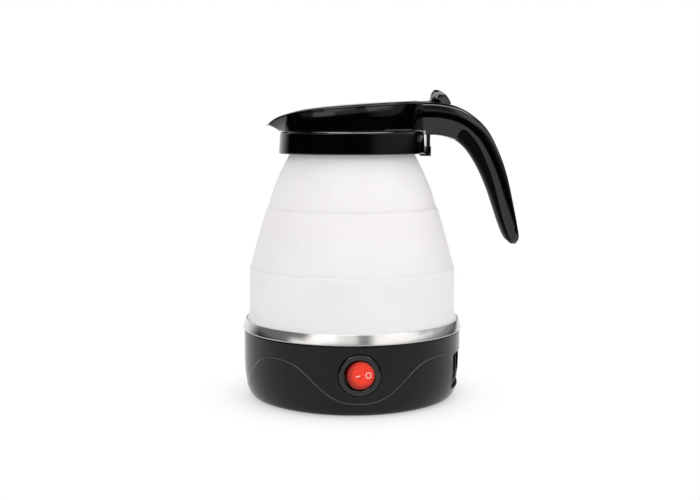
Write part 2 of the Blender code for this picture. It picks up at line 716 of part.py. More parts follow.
def element_end(side):
    """Azimuth of one end of the element: its opening is opposite the switch."""
    return math.pi + side * ELEMENT_OPENING / 2


def heating_element():
    span = math.tau - ELEMENT_OPENING
    points = []
    for i in range(ELEMENT_STEPS + 1):
        azimuth = element_end(1) + span * i / ELEMENT_STEPS
        points.append(at_azimuth(ELEMENT_CIRCLE, azimuth, ELEMENT_HEIGHT))
    tube("heating_element", element_leg(1)[::-1] + points + element_leg(-1), ELEMENT_RADIUS, "steel")


def element_leg(side):
    """Points of the leg at one end, from its bend down to its terminal."""
    turn = element_pin_place(side)
    bend = ELEMENT_RADIUS * ELEMENT_BEND_SHARE
    return [at_azimuth(ELEMENT_CIRCLE, turn, ELEMENT_HEIGHT - bend * 0.6),
            at_azimuth(ELEMENT_CIRCLE, turn, ELEMENT_HEIGHT - ELEMENT_LEG)]


def element_pin_place(side):
    bend = ELEMENT_RADIUS * ELEMENT_BEND_SHARE
    return element_end(side) - side * bend / ELEMENT_CIRCLE


def element_pins():
    top = ELEMENT_HEIGHT - ELEMENT_LEG - GAP
    for i, side in enumerate((-1, 1)):
        high = at_azimuth(ELEMENT_CIRCLE, element_pin_place(side), top)
        low = high - Vector((0, 0, ELEMENT_PIN_LENGTH))
        piece(f"element_pin_{i + 1}", rod(ELEMENT_PIN_RADIUS, low, high, HOLE_SIDES), "steel")


def thermostat():
    step = HOT_SEAT - THERMOSTAT_CAP
    outline = [(0, THERMOSTAT_BOTTOM), (THERMOSTAT_RADIUS, THERMOSTAT_BOTTOM), (THERMOSTAT_RADIUS, step),
               (THERMOSTAT_CAP_RADIUS, step), (THERMOSTAT_CAP_RADIUS, HOT_SEAT), (0, HOT_SEAT)]
    body = piece("thermostat", turned(outline, TURN_SIDES // 2), "ceramic")
    ear_height = THERMOSTAT_CAP / 2
    fuse(body, block((-THERMOSTAT_EAR_REACH, -THERMOSTAT_EAR_WIDTH / 2, HOT_SEAT - ear_height),
                     (THERMOSTAT_EAR_REACH, THERMOSTAT_EAR_WIDTH / 2, HOT_SEAT - ear_height / 2)))
    top = THERMOSTAT_BOTTOM - GAP
    for i, side in enumerate((-1, 1)):
        place = side * THERMOSTAT_TAB_PLACE
        tab = block((place - BLADE_THICKNESS / 2, -BLADE_WIDTH / 2, top - BLADE_LENGTH),
                    (place + BLADE_THICKNESS / 2, BLADE_WIDTH / 2, top))
        piece(f"thermostat_tab_{i + 1}", tab, "brass")


def thermal_fuse():
    height = HOT_SEAT - FUSE_RADIUS
    piece("thermal_fuse", rod(FUSE_RADIUS, (-FUSE_PLACE, -FUSE_LENGTH / 2, height),
                              (-FUSE_PLACE, FUSE_LENGTH / 2, height)), "wire_white")


def facing_front(bm, height):
    """A shape turned round Z, with Z as its outward direction, laid down to face the switch side."""
    return placed(bm, Matrix.Translation((0, 0, height)) @ Matrix.Rotation(math.pi / 2, 4, "X"))


def switch_body():
    seat = SWITCH_SEAT + GAP
    well_floor = SWITCH_FACE - WELL_DEPTH
    outline = [(0, well_floor), (WELL_RADIUS, well_floor), (WELL_RADIUS, SWITCH_FACE),
               (BEZEL_RADIUS - BEZEL_ROUND, SWITCH_FACE), (BEZEL_RADIUS, SWITCH_FACE - BEZEL_ROUND),
               (BEZEL_RADIUS, seat), (BARREL_RADIUS, seat), (BARREL_RADIUS, BARREL_BACK), (0, BARREL_BACK)]
    piece("switch_body", facing_front(turned(outline), SWITCH_HEIGHT), "gloss_black")
    lamp_depth = well_floor + GAP + LAMP_RADIUS
    piece("switch_lamp", rod(LAMP_RADIUS, (-LAMP_LENGTH / 2, -lamp_depth, SWITCH_HEIGHT),
                             (LAMP_LENGTH / 2, -lamp_depth, SWITCH_HEIGHT), HOLE_SIDES), "lamp_glass")
    for i in (-1, 0, 1):
        place = i * SWITCH_TAB_PITCH
        tab = block((place - BLADE_THICKNESS / 2, -BARREL_BACK + GAP, SWITCH_HEIGHT - BLADE_WIDTH / 2),
                    (place + BLADE_THICKNESS / 2, -BARREL_BACK + GAP + BLADE_LENGTH,
                     SWITCH_HEIGHT + BLADE_WIDTH / 2))
        piece(f"switch_tab_{i + 2}", tab, "brass")


def switch_rocker():
    """Round rocker with a V front: its right side is pressed in, the off position."""
    half = TURN_SIDES // 4
    side_points = [(math.sin(math.pi * i / half), math.cos(math.pi * i / half)) for i in range(half + 1)]
    valley = ROCKER_PIVOT_DEPTH
    back = valley - ROCKER_THICKNESS
    rise = ROCKER_RADIUS * math.tan(ROCKER_TILT)
    bm = bmesh.new()
    fronts, backs = {}, {}
    for sign in (1, -1):
        for x, z in side_points:
            key = (round(sign * x, 6) + 0.0, round(z, 6))
            if key in fronts:
                continue
            place = Vector((sign * x * ROCKER_RADIUS, 0, z * ROCKER_RADIUS))
            fronts[key] = bm.verts.new(place - Vector((0, valley + rise * x, 0)))
            backs[key] = bm.verts.new(place - Vector((0, back, 0)))
    for sign in (1, -1):
        keys = [(round(sign * x, 6) + 0.0, round(z, 6)) for x, z in side_points]
        bm.faces.new([fronts[key] for key in keys])
        bm.faces.new([backs[key] for key in keys])
        for key, after in zip(keys, keys[1:]):
            bm.faces.new((fronts[key], fronts[after], backs[after], backs[key]))
    placed(bm, Matrix.Translation(SWITCH_PIVOT) @ Matrix.Rotation(ROCKER_TILT, 4, "Z"))
    piece("switch_rocker", bm, "red_lens", SWITCH_PIVOT)


def inlet_socket():
    reach = INLET_FLANGE[0] / 2
    lowest = INLET_HEIGHT - INLET_FLANGE[1] / 2
    flange_front = math.sqrt((base_outer(lowest) - BASE_WALL) ** 2 - reach ** 2) - GAP
    flange_back = flange_front - INLET_FLANGE_THICKNESS
    rings = [
        rounded_ring(INLET_CAVITY, INLET_CORNER, INLET_FACE - INLET_CAVITY_DEPTH),
        rounded_ring(INLET_CAVITY, INLET_CORNER, INLET_FACE),
        rounded_ring(INLET_PLATE, INLET_CORNER, INLET_FACE),
        rounded_ring(INLET_PLATE, INLET_CORNER, flange_front),
        rounded_ring(INLET_FLANGE, INLET_CORNER, flange_front),
        rounded_ring(INLET_FLANGE, INLET_CORNER, flange_back),
        rounded_ring(INLET_BODY, INLET_CORNER, flange_back),
        rounded_ring(INLET_BODY, INLET_CORNER, INLET_BACK)]
    socket = piece("inlet_socket", round_axis(loft(rings), INLET_AZIMUTH), "satin_black")
    holes = []
    for name, x, z in inlet_pin_places():
        front, tail = INLET_FACE - PIN_SETBACK, INLET_BACK - PIN_TAIL
        size = Vector((PIN_THICKNESS / 2, 0, PIN_WIDTH / 2))
        room = Vector((GAP, 0, GAP))
        pin = block(Vector((x, -front, z)) - size, Vector((x, -tail, z)) + size)
        hole = block(Vector((x, -front, z)) - size - room, Vector((x, -tail, z)) + size + room)
        piece(name, round_axis(pin, INLET_AZIMUTH), "brass")
        holes.append(round_axis(hole, INLET_AZIMUTH))
    cut(socket, merged(*holes))


def inlet_pin_places():
    """Name, sideways place and height of the three pins: the earth pin stands higher."""
    low = INLET_HEIGHT - PIN_DROP
    return (("inlet_pin_live", -PIN_PITCH, low), ("inlet_pin_neutral", PIN_PITCH, low),
            ("inlet_pin_earth", 0, low + PIN_RAISE))


# Routes of the leads inside the base. Each end stands straight up under its terminal.
SWITCH_TAB_FOOT = 0.0217
LEAD_FLOOR = 0.0070
LOW_LEAD_FLOOR = 0.0048
LEAD_ROUTES = {
    "lead_live": ("wire_brown", (
        (0.0378, -0.0174, 0.0140), (0.0378, -0.0174, 0.0105), (0.0340, -0.0195, LEAD_FLOOR),
        (0.0270, -0.0245, LEAD_FLOOR), (0.0150, -0.0350, LEAD_FLOOR), (0.0070, -0.0410, 0.0095),
        (0.0050, -0.0430, 0.0150), (0.0050, -0.0430, SWITCH_TAB_FOOT))),
    "lead_switched": ("wire_brown", (
        (0, -0.0430, SWITCH_TAB_FOOT), (0, -0.0430, 0.0150), (0, -0.0400, 0.0090),
        (-0.0010, -0.0330, LEAD_FLOOR), (-0.0030, -0.0180, LEAD_FLOOR), (-0.0043, -0.0060, LEAD_FLOOR),
        (-0.0045, -0.0010, 0.0085), (-0.0045, 0, 0.0110), (-0.0045, 0, 0.0139))),
    "lead_lamp": ("wire_blue", (
        (-0.0050, -0.0430, SWITCH_TAB_FOOT), (-0.0050, -0.0430, 0.0130), (-0.0035, -0.0410, 0.0070),
        (0.0020, -0.0350, LOW_LEAD_FLOOR), (0.0110, -0.0240, LOW_LEAD_FLOOR),
        (0.0220, -0.0130, LOW_LEAD_FLOOR), (0.0340, -0.0055, 0.0055), (0.0388, -0.0037, 0.0085),
        (0.0395, -0.0035, 0.0140))),
    "lead_neutral": ("wire_blue", (
        (0.0427, -0.0042, 0.0140), (0.0427, -0.0040, 0.0115), (0.0415, 0.0010, LEAD_FLOOR),
        (0.0370, 0.0130, LEAD_FLOOR), (0.0270, 0.0250, LEAD_FLOOR), (0.0170, 0.0320, LEAD_FLOOR),
        (0.0111, 0.0318, 0.0080), (0.0108, 0.0322, 0.0107))),
    "lead_fuse_in": ("wire_white", (
        (0.0045, 0, 0.0139), (0.0045, 0.0006, 0.0110), (0.0030, 0.0050, LEAD_FLOOR),
        (-0.0080, 0.0120, LEAD_FLOOR), (-0.0170, 0.0135, 0.0110), (-0.0200, 0.0130, 0.0180),
        (-0.0200, 0.0115, 0.0265), (-0.0200, 0.0090, 0.0300), (-0.0200, 0.0063, 0.0300))),
    "lead_fuse_out": ("wire_white", (
        (-0.0200, -0.0063, 0.0300), (-0.0200, -0.0090, 0.0300), (-0.0205, -0.0125, 0.0265),
        (-0.0225, -0.0130, 0.0180), (-0.0260, -0.0080, 0.0090), (-0.0280, 0.0060, LEAD_FLOOR),
        (-0.0230, 0.0220, LEAD_FLOOR), (-0.0150, 0.0300, LEAD_FLOOR), (-0.0111, 0.0318, 0.0080),
        (-0.0108, 0.0322, 0.0107))),
    "lead_earth": ("wire_green", (
        (0.0396, -0.0106, 0.0181), (0.0396, -0.0106, 0.0150), (0.0360, -0.0120, 0.0115),
        (0.0290, -0.0190, 0.0115), (0.0262, -0.0250, 0.0150), (0.0275, -0.0275, 0.0210),
        (0.0290, -0.0290, 0.0230), (0.0318, -0.0318, 0.0230))),
}


def leads():
    for name, (finish, route) in LEAD_ROUTES.items():
        route = [Vector(point) for point in route]
        length = sum((after - point).length for point, after in zip(route, route[1:]))
        steps = max(round(length / LEAD_STEP), 6)
        tube(name, [curve_at(route, i / steps) for i in range(steps + 1)], LEAD_RADIUS, finish)


def zone(start, end, bulge, steps=ZONE_STEPS):
    """Points of one silicone zone, bulged outwards like a shallow arch."""
    points = []
    for i in range(steps + 1):
        share = i / steps
        radius = start[0] + (end[0] - start[0]) * share + bulge * math.sin(math.pi * share)
        points.append((radius, start[1] + (end[1] - start[1]) * share))
    return points


def silicone_outer():
    """Outer (radius, height) points above the ring up to the collar, with the wall at each."""
    half_band = FOLD_BAND / 2
    points = [(r, z, SILICONE_WALL) for r, z in zone(
        (FLARE_RADIUS, RING_TOP), (LOWER_RADIUS, RING_TOP + FLARE_HEIGHT), -FLARE_DIP, 3)]
    points.append((LOWER_RADIUS, FOLD_LOW - half_band, SILICONE_WALL))
    points.append((LOWER_RADIUS - FOLD_STEP, FOLD_LOW, SILICONE_HINGE))
    for r, z in zone((LOWER_RADIUS - FOLD_STEP, FOLD_LOW + half_band),
                     (MIDDLE_TOP_RADIUS, FOLD_HIGH - half_band), MIDDLE_BULGE):
        points.append((r, z, SILICONE_WALL))
    points.append((MIDDLE_TOP_RADIUS - FOLD_STEP, FOLD_HIGH, SILICONE_HINGE))
    for r, z in zone((MIDDLE_TOP_RADIUS - 2 * FOLD_STEP, FOLD_HIGH + half_band),
                     (UPPER_TOP_RADIUS, COLLAR_BOTTOM), UPPER_BULGE):
        points.append((r, z, SILICONE_WALL))
    return points


def silicone_body():
    outer = silicone_outer()
    bead_inner = SILICONE_BEAD_RADIUS - SILICONE_BEAD_INSET
    ring_inner = RING_RADIUS - RING_SLOPE - RING_SHEET - GAP
    outline = [(bead_inner, BEAD_BOTTOM), (SILICONE_BEAD_RADIUS, BEAD_BOTTOM), (ring_inner, RING_TOP - GAP)]
    outline += [(r, z) for r, z, wall in outer]
    outline += [(UPPER_TOP_RADIUS, SILICONE_FLANGE_BOTTOM), (SILICONE_FLANGE_RADIUS, SILICONE_FLANGE_BOTTOM),
                (SILICONE_FLANGE_RADIUS, SILICONE_TOP), (NECK_RADIUS, SILICONE_TOP)]
    outline += [(r - wall, z) for r, z, wall in reversed(outer)]
    piece("silicone_body", turned(outline), "white_silicone")


def collar():
    hole = UPPER_TOP_RADIUS + GAP
    edge = COLLAR_EDGE
    outline = [(hole, COLLAR_BOTTOM), (COLLAR_RADIUS - edge, COLLAR_BOTTOM),
               (COLLAR_RADIUS, COLLAR_BOTTOM + edge), (COLLAR_RADIUS - COLLAR_DRAFT, COLLAR_TOP - edge),
               (COLLAR_RADIUS - COLLAR_DRAFT - edge, COLLAR_TOP), (COLLAR_WALL_RADIUS, COLLAR_TOP),
               (COLLAR_WALL_RADIUS, COLLAR_BOTTOM + COLLAR_WEB), (hole, COLLAR_BOTTOM + COLLAR_WEB)]
    piece("collar", turned(outline, BASE_SIDES), "gloss_black")


def neck_ring():
    outer = NECK_RADIUS + NECK_RING_WALL
    piece("neck_ring", turned([(NECK_RADIUS, NECK_RING_BOTTOM), (outer, NECK_RING_BOTTOM),
                               (outer, NECK_RING_TOP), (NECK_RADIUS, NECK_RING_TOP)]), "satin_black")
    low, high = NECK_RING_TOP + GAP, HOUSING_BOTTOM - GAP
    inner = NECK_RADIUS + GASKET_INSET
    piece("neck_gasket", turned([(inner, low), (outer, low), (outer, high), (inner, high)]),
          "rubber_black")


def plan_radius(angle, radius, reach):
    """Radius of the spout housing's plan at an angle counted from the spout's tip: a circle
    and two straight sides that meet in a blunt tip."""
    angle = abs(math.remainder(angle, math.tau))
    touch = SPOUT_TIP_ANGLE + math.acos(radius / reach)
    if angle >= touch:
        return radius
    return radius / math.cos(touch - max(angle, SPOUT_TIP_ANGLE))


def plan_angles():
    """Angles from the spout's tip, closer together along the beak."""
    touch = SPOUT_TIP_ANGLE + math.acos(HOUSING_RADIUS / LID_REACH)
    beak = [touch * share for share in (0, 0.12, 0.28, 0.45, 0.62, 0.8, 1)]
    rest = TURN_SIDES - len(beak)
    body = [touch + (math.tau - 2 * touch) * i / rest for i in range(1, rest)]
    return beak + body + [math.tau - angle for angle in reversed(beak[1:])]


def from_tip(radius, angle, height):
    return Vector((-radius * math.cos(angle), -radius * math.sin(angle), height))


def lid_height(x, y):
    """Height of the lid's top surface: it climbs from the spout's tip and is crowned across."""
    along = (x + LID_REACH) / LID_RUN
    crown = LID_CROWN * (y / HOUSING_RADIUS) ** 2
    return LID_TOP - LID_RISE + LID_RISE * height_on(LID_CONTOUR_SHARES, along) - crown


def plan_ring(angles, radius, reach, height):
    """Ring of the housing's plan; height is a number or a function of x and y."""
    ring = []
    for angle in angles:
        point = from_tip(plan_radius(angle, radius, reach), angle, 0)
        point.z = height(point.x, point.y) if callable(height) else height
        ring.append(point)
    return ring


def spout_housing():
    """Open housing on the collar, whose wall leans outwards along the beak."""
    angles = plan_angles()
    inner = HOUSING_RADIUS - HOUSING_WALL
    skirt = COLLAR_WALL_RADIUS - GAP
    skirt_bottom = SILICONE_TOP + GAP

    def top(x, y):
        return lid_height(x, y) - LID_THICKNESS - GAP

    def flat_ring(radius, height):
        return [from_tip(radius, angle, height) for angle in angles]

    rings = [
        plan_ring(angles, HOUSING_RADIUS, SPOUT_REACH - BEAK_FLARE, HOUSING_BOTTOM),
        plan_ring(angles, HOUSING_RADIUS, SPOUT_REACH, top),
        plan_ring(angles, inner, INNER_REACH, top),
        plan_ring(angles, inner, INNER_REACH - BEAK_FLARE, DECK_TOP),
        flat_ring(NECK_BORE, DECK_TOP),
        flat_ring(NECK_BORE, HOUSING_BOTTOM),
        flat_ring(skirt - SKIRT_WALL, HOUSING_BOTTOM),
        flat_ring(skirt - SKIRT_WALL, skirt_bottom),
        flat_ring(skirt, skirt_bottom),
        flat_ring(skirt, HOUSING_BOTTOM)]
    housing = piece("spout_housing", loft(rings, closed=True), "gloss_black")
    cut(housing, merged(*(handle_screw_hole(side) for side in (-1, 1))))


def lid():
    """Lid plate with its skirt, open at the spout, the hinge knuckle and the thumb lever."""
    angles = plan_angles()

    def plan(radius, reach, rear):
        points = []
        for angle in angles:
            place = plan_radius(angle, radius, reach)
            backward = -math.cos(angle)
            points.append(min(place, rear / backward) if backward > 0.5 else place)
        return points

    def ring(radii, drop):
        points = []
        for angle, radius in zip(angles, radii):
            point = from_tip(radius, angle, 0)
            point.z = lid_height(point.x, point.y) - drop(angle)
            points.append(point)
        return points

    def skirt_drop(angle):
        from_spout = abs(math.remainder(angle, math.tau))
        share = min(max((from_spout - LID_POUR_ANGLE) / (LID_POUR_ANGLE / 8), 0), 1)
        return LID_THICKNESS + GAP + LID_SKIRT_DEPTH * share

    def level(thickness):
        return lambda angle: thickness

    edge = LID_THICKNESS / 4
    full = plan(HOUSING_RADIUS, LID_REACH, LID_REAR)
    inset = plan(HOUSING_RADIUS - edge, LID_REACH - 2 * edge, LID_REAR - edge)
    skirt, inside = [LID_SKIRT_RADIUS] * len(angles), [LID_SKIRT_RADIUS - LID_SKIRT_WALL] * len(angles)
    rings = [ring([radius * share for radius in inset], level(0)) for share in LID_RING_SHARES]
    rings += [ring(full, level(edge)), ring(full, level(LID_THICKNESS))]
    inner_rear = (LID_REAR + LID_SKIRT_RADIUS) / 2
    rings.append(ring(plan(HOUSING_RADIUS - GAP, SPOUT_REACH, LID_REAR - GAP), level(LID_THICKNESS)))
    rings.append(ring(plan(HOUSING_RADIUS - HOUSING_WALL, INNER_REACH, inner_rear), level(LID_THICKNESS)))
    rings += [ring(skirt, level(LID_THICKNESS)), ring(skirt, skirt_drop), ring(inside, skirt_drop)]
    rings += [ring([radius * share for radius in inside], level(LID_THICKNESS))
              for share in (1, LID_RING_SHARES[1], LID_RING_SHARES[0])]
    plate = piece("lid", fan_loft(rings), "gloss_black", HINGE)
    fuse(plate, slab(lever_outline(), LEVER_HALF))
    cut(plate, rod(HINGE_PIN_RADIUS + GAP, HINGE - Vector((0, OVERRUN, 0)), HINGE + Vector((0, OVERRUN, 0)),
                   HOLE_SIDES))


def fan_loft(rings):
    """A loft whose two ends close in a fan on their own middle points."""
    bm = loft(rings)
    for ring in (rings[0], rings[-1]):
        middle = sum(ring, Vector()) / len(ring)
        cap = [face for face in bm.faces if len(face.verts) == len(ring)
               and abs(face.calc_center_median().z - middle.z) < LID_THICKNESS / 2]
        bmesh.ops.poke(bm, faces=cap)
    return bm


def lever_outline():
    """(x, z) outline of the lid's rear arm: neck, knuckle round the hinge pin and thumb lever."""
    start = LID_REAR - KNUCKLE_RADIUS
    start_height = lid_height(start, 0)
    top = lid_height(LID_REAR, 0)
    crest = (HINGE_X + LEVER_CREST, HINGE_Z + LEVER_RISE)
    sheet = LEVER_SHEET
    under = top - LID_THICKNESS
    outline = [(start, start_height - sheet / 8), (HINGE_X - sheet / 4, top),
               (HINGE_X + sheet / 8, crest[1] - sheet), crest]
    outline += [(HINGE_X + LEVER_REACH * x, HINGE_Z + LEVER_FALL + (LEVER_RISE - LEVER_FALL) * z)
                for x, z in LEVER_SHARES]
    outline.append((HINGE_X + KNUCKLE_RADIUS, HINGE_Z + KNUCKLE_RADIUS))
    outline += arc((HINGE_X, HINGE_Z), KNUCKLE_RADIUS, 0, -math.pi, 8)
    outline += [(HINGE_X - KNUCKLE_RADIUS, under), (start, start_height - LID_THICKNESS)]
    return outline


def hinge_pin():
    end = ROOT_WIDTH / 2 - GAP
    start = -SLOT_HALF - (ROOT_WIDTH / 2 - SLOT_HALF) / 2
    piece("hinge_pin", rod(HINGE_PIN_RADIUS, HINGE + Vector((0, start, 0)), HINGE + Vector((0, end, 0)),
                           HOLE_SIDES), "steel")


def handle_point(shares, place):
    """Point on one of the handle's two contours at a share of its length."""
    points = [Vector((HANDLE_START + HANDLE_REACH * x, 0, HANDLE_TOP - HANDLE_DROP * z)) for x, z in shares]
    return curve_at(points, place)


def handle_half_width(place):
    widths = [Vector((ROOT_WIDTH / 2 * share, 0)) for share in HANDLE_WIDTH_SHARES]
    return curve_at(widths, place).x


def grip_share(place):
    """Share of the handle's depth that the inner grip takes: none at the root, with a round nose,
    and thinner towards the tip."""
    past = min(max((place - GRIP_START_SHARE) / GRIP_NOSE_SHARE, 0), 1)
    start = GRIP_START_SHARE + GRIP_NOSE_SHARE
    along = min(max((place - start) / (GRIP_TAPER_END - start), 0), 1)
    return (GRIP_SHARE + (GRIP_SHARE_AT_TIP - GRIP_SHARE) * along) * math.sqrt(1 - (1 - past) ** 2)


def handle_ring(place, shape):
    """Ring across the handle; shape gives (depth share from the inner side, half-width share) pairs."""
    inner = handle_point(HANDLE_INNER_SHARES, place)
    outer = handle_point(HANDLE_OUTER_SHARES, place)
    half = handle_half_width(place)
    return [inner.lerp(outer, u) + Vector((0, v * half, 0)) for u, v in shape]


def nose_place(i):
    return GRIP_START_SHARE + GRIP_NOSE_SHARE * GRIP_NOSE_SHARES[i]


def handle_places(start=0, end=1):
    """Shares of the handle's length where its rings stand, closer together at the grip's nose."""
    nose = [nose_place(i) for i in range(len(GRIP_NOSE_SHARES))]
    body = [i / HANDLE_STATIONS for i in range(HANDLE_STATIONS + 1)]
    body = [place for place in body if not nose[0] <= place <= nose[-1]]
    return [start] + [place for place in sorted(body + nose) if start < place < end] + [end]


def shell_shape(place):
    low = grip_share(place)
    return [(low, -0.97), (0.66, -1), (0.82, -0.93), (0.94, -0.72), (1, -0.35),
            (1, 0.35), (0.94, 0.72), (0.82, 0.93), (0.66, 1), (low, 0.97)]


def grip_shape(place):
    depth = (handle_point(HANDLE_OUTER_SHARES, place) - handle_point(HANDLE_INNER_SHARES, place)).length
    high = grip_share(place) - GAP / depth
    tongue = CHANNEL_DEPTH_SHARE - GAP / depth if place < CHANNEL_END_SHARE else high
    half = CHANNEL_WIDTH_SHARE - GAP / handle_half_width(place)
    wide = GRIP_WIDTH_SHARE
    return [(0, -0.5), (high * 0.3, -wide * 0.92), (high, -wide), (high, -half), (tongue, -half),
            (tongue, half), (high, half), (high, wide), (high * 0.3, wide * 0.92), (0, 0.5)]


def handle_screw_hole(side):
    start = Vector((LID_SKIRT_RADIUS - OVERRUN, side * HANDLE_SCREW_SPREAD, HANDLE_SCREW_HEIGHT))
    end = start + Vector((OVERRUN + HANDLE_SCREW_LENGTH + 4 * GAP, 0, 0))
    return rod(HANDLE_SCREW_RADIUS + GAP, start, end, HOLE_SIDES)


def handle_shell():
    rings = [handle_ring(place, shell_shape(place)) for place in handle_places()]
    shell = piece("handle_shell", loft(rings), "gloss_black")
    channel_shape = [(-0.5, -CHANNEL_WIDTH_SHARE), (CHANNEL_DEPTH_SHARE, -CHANNEL_WIDTH_SHARE),
                     (CHANNEL_DEPTH_SHARE, CHANNEL_WIDTH_SHARE), (-0.5, CHANNEL_WIDTH_SHARE)]
    channel_start = GRIP_START_SHARE + (nose_place(1) - GRIP_START_SHARE) / 3
    channel_end = CHANNEL_END_SHARE + GRIP_NOSE_SHARE / 8
    channel = loft([handle_ring(place, channel_shape)
                    for place in handle_places(channel_start, channel_end)])
    cut(shell, channel)
    bottom = HANDLE_TOP - HANDLE_DROP
    shelf = lid_height(HANDLE_START, 0) - LID_THICKNESS
    cut(shell, turned([(0, bottom), (COLLAR_RADIUS + GAP, bottom), (COLLAR_RADIUS + GAP, COLLAR_TOP),
                       (HOUSING_RADIUS + GAP, COLLAR_TOP), (HOUSING_RADIUS + GAP, shelf), (0, shelf)],
                      BASE_SIDES))
    slot_end, slot_top = HINGE_X + SLOT_LENGTH, HANDLE_TOP + OVERRUN
    step, shallow = HINGE_X + SLOT_DEEP_START, HINGE_Z - KNUCKLE_RADIUS - 2 * SLOT_CLEARANCE
    cut(shell, slab([(0, slot_top), (0, shallow), (step, shallow), (step, HINGE_Z - SLOT_FLOOR),
                     (slot_end, HINGE_Z - SLOT_FLOOR), (slot_end, slot_top)], SLOT_HALF))
    pin_start = HINGE + Vector((0, -SLOT_HALF - (ROOT_WIDTH / 2 - SLOT_HALF) / 2 - GAP, 0))
    cut(shell, rod(HINGE_PIN_RADIUS + GAP, pin_start, HINGE + Vector((0, ROOT_WIDTH, 0)), HOLE_SIDES))
    cut(shell, merged(*(handle_screw_hole(side) for side in (-1, 1))))
    recess_half = LATCH_WIDTH / 2 + GAP
    cut(shell, block((HANDLE_START, -recess_half, bottom),
                     (LATCH_X + LATCH_RECESS, recess_half, LATCH_Z + LATCH_BARREL + GAP)))


def handle_grip():
    rings = [handle_ring(place, grip_shape(place)) for place in handle_places(nose_place(1))]
    piece("handle_grip", loft(rings), "satin_black")


def handle_screws():
    wide = HANDLE_SCREW_SPREAD + HANDLE_SCREW_HEAD
    seat = math.sqrt((HOUSING_RADIUS - HOUSING_WALL) ** 2 - wide ** 2) - GAP
    head = seat - HANDLE_SCREW_HEAD_THICKNESS
    for i, side in enumerate((-1, 1)):
        outline = [(0, head), (HANDLE_SCREW_HEAD, head), (HANDLE_SCREW_HEAD, seat),
                   (HANDLE_SCREW_RADIUS, seat), (HANDLE_SCREW_RADIUS, head + HANDLE_SCREW_LENGTH),
                   (0, head + HANDLE_SCREW_LENGTH)]
        lay = Matrix.Translation((0, side * HANDLE_SCREW_SPREAD, HANDLE_SCREW_HEIGHT))
        screw = placed(turned(outline, HOLE_SIDES), lay @ Matrix.Rotation(math.pi / 2, 4, "Y"))
        piece(f"handle_screw_{i + 1}", screw, "steel")


def latch_clip():
    """Sprung clip: barrel in the handle root, tab, finger block and a toe under the collar."""
    toe_top = COLLAR_BOTTOM - GAP
    block_left = COLLAR_RADIUS + GAP
    block_right = block_left + LATCH_BLOCK_WIDTH
    tab_left = LATCH_X - LATCH_TAB / 2
    block_top = toe_top + LATCH_BLOCK_HEIGHT
    reach = math.asin(LATCH_TAB / 2 / LATCH_BARREL)
    outline = arc((LATCH_X, LATCH_Z), LATCH_BARREL, -math.pi / 2 + reach, math.pi * 1.5 - reach, 10)
    outline += [(tab_left, block_top), (block_left, block_top), (block_left, toe_top),
                (COLLAR_RADIUS - LATCH_HOOK, toe_top), (COLLAR_RADIUS - LATCH_HOOK, toe_top - LATCH_TOE / 2),
                (COLLAR_RADIUS - LATCH_HOOK + LATCH_TOE / 2, toe_top - LATCH_TOE),
                (block_right, toe_top - LATCH_TOE), (block_right, block_top),
                (tab_left + LATCH_TAB, block_top)]
    piece("latch_clip", slab(outline, LATCH_WIDTH / 2), "gloss_black", LATCH)


def main():
    clear_scene()
    base_housing()
    base_cover()
    feet()
    long_screws()
    clamp_ring()
    heating_pan()
    heat_spreader()
    heating_element()
    element_pins()
    thermostat()
    thermal_fuse()
    switch_body()
    switch_rocker()
    inlet_socket()
    leads()
    silicone_body()
    collar()
    neck_ring()
    spout_housing()
    lid()
    hinge_pin()
    handle_shell()
    handle_grip()
    handle_screws()
    latch_clip()


main()
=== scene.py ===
"""Looks of the collapsible kettle: fine surfaces and finishes around its fixed frame. Metres, +Z
up, the spout towards -X, the handle towards +X, the switch towards -Y. An azimuth is counted from
the switch round towards the handle."""

from math import acos, asin, atan2, copysign, cos, pi, radians, remainder, sin, sqrt, tan, tau

import bmesh
import bpy
from mathutils import Matrix, Vector


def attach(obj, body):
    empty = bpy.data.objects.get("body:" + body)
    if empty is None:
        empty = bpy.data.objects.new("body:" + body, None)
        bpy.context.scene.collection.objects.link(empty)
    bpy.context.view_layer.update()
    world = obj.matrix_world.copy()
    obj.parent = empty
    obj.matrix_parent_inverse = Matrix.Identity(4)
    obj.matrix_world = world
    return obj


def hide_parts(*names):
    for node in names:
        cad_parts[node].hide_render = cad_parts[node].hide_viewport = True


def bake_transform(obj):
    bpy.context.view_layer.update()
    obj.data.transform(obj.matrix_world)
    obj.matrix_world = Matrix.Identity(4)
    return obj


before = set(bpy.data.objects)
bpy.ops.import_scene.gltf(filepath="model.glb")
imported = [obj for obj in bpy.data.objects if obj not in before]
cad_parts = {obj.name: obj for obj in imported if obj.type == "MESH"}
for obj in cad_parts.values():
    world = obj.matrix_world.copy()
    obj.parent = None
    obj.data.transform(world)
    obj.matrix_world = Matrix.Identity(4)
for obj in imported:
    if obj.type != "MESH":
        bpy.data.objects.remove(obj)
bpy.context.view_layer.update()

MM = 0.001

# Counts, angles from which an edge is sharp, and how far a cutting tool runs past what it cuts
FINE_TURN = 160
SMALL_TURN = 64
BASE_TURN = 240
HEAD_TURN = 168
SHARP_ANGLE = radians(38)
BODY_SHARP = radians(50)
HEAD_SHARP = radians(40)
HANDLE_SHARP = radians(42)
LATCH_SHARP = radians(35)
FAR = 10 * MM

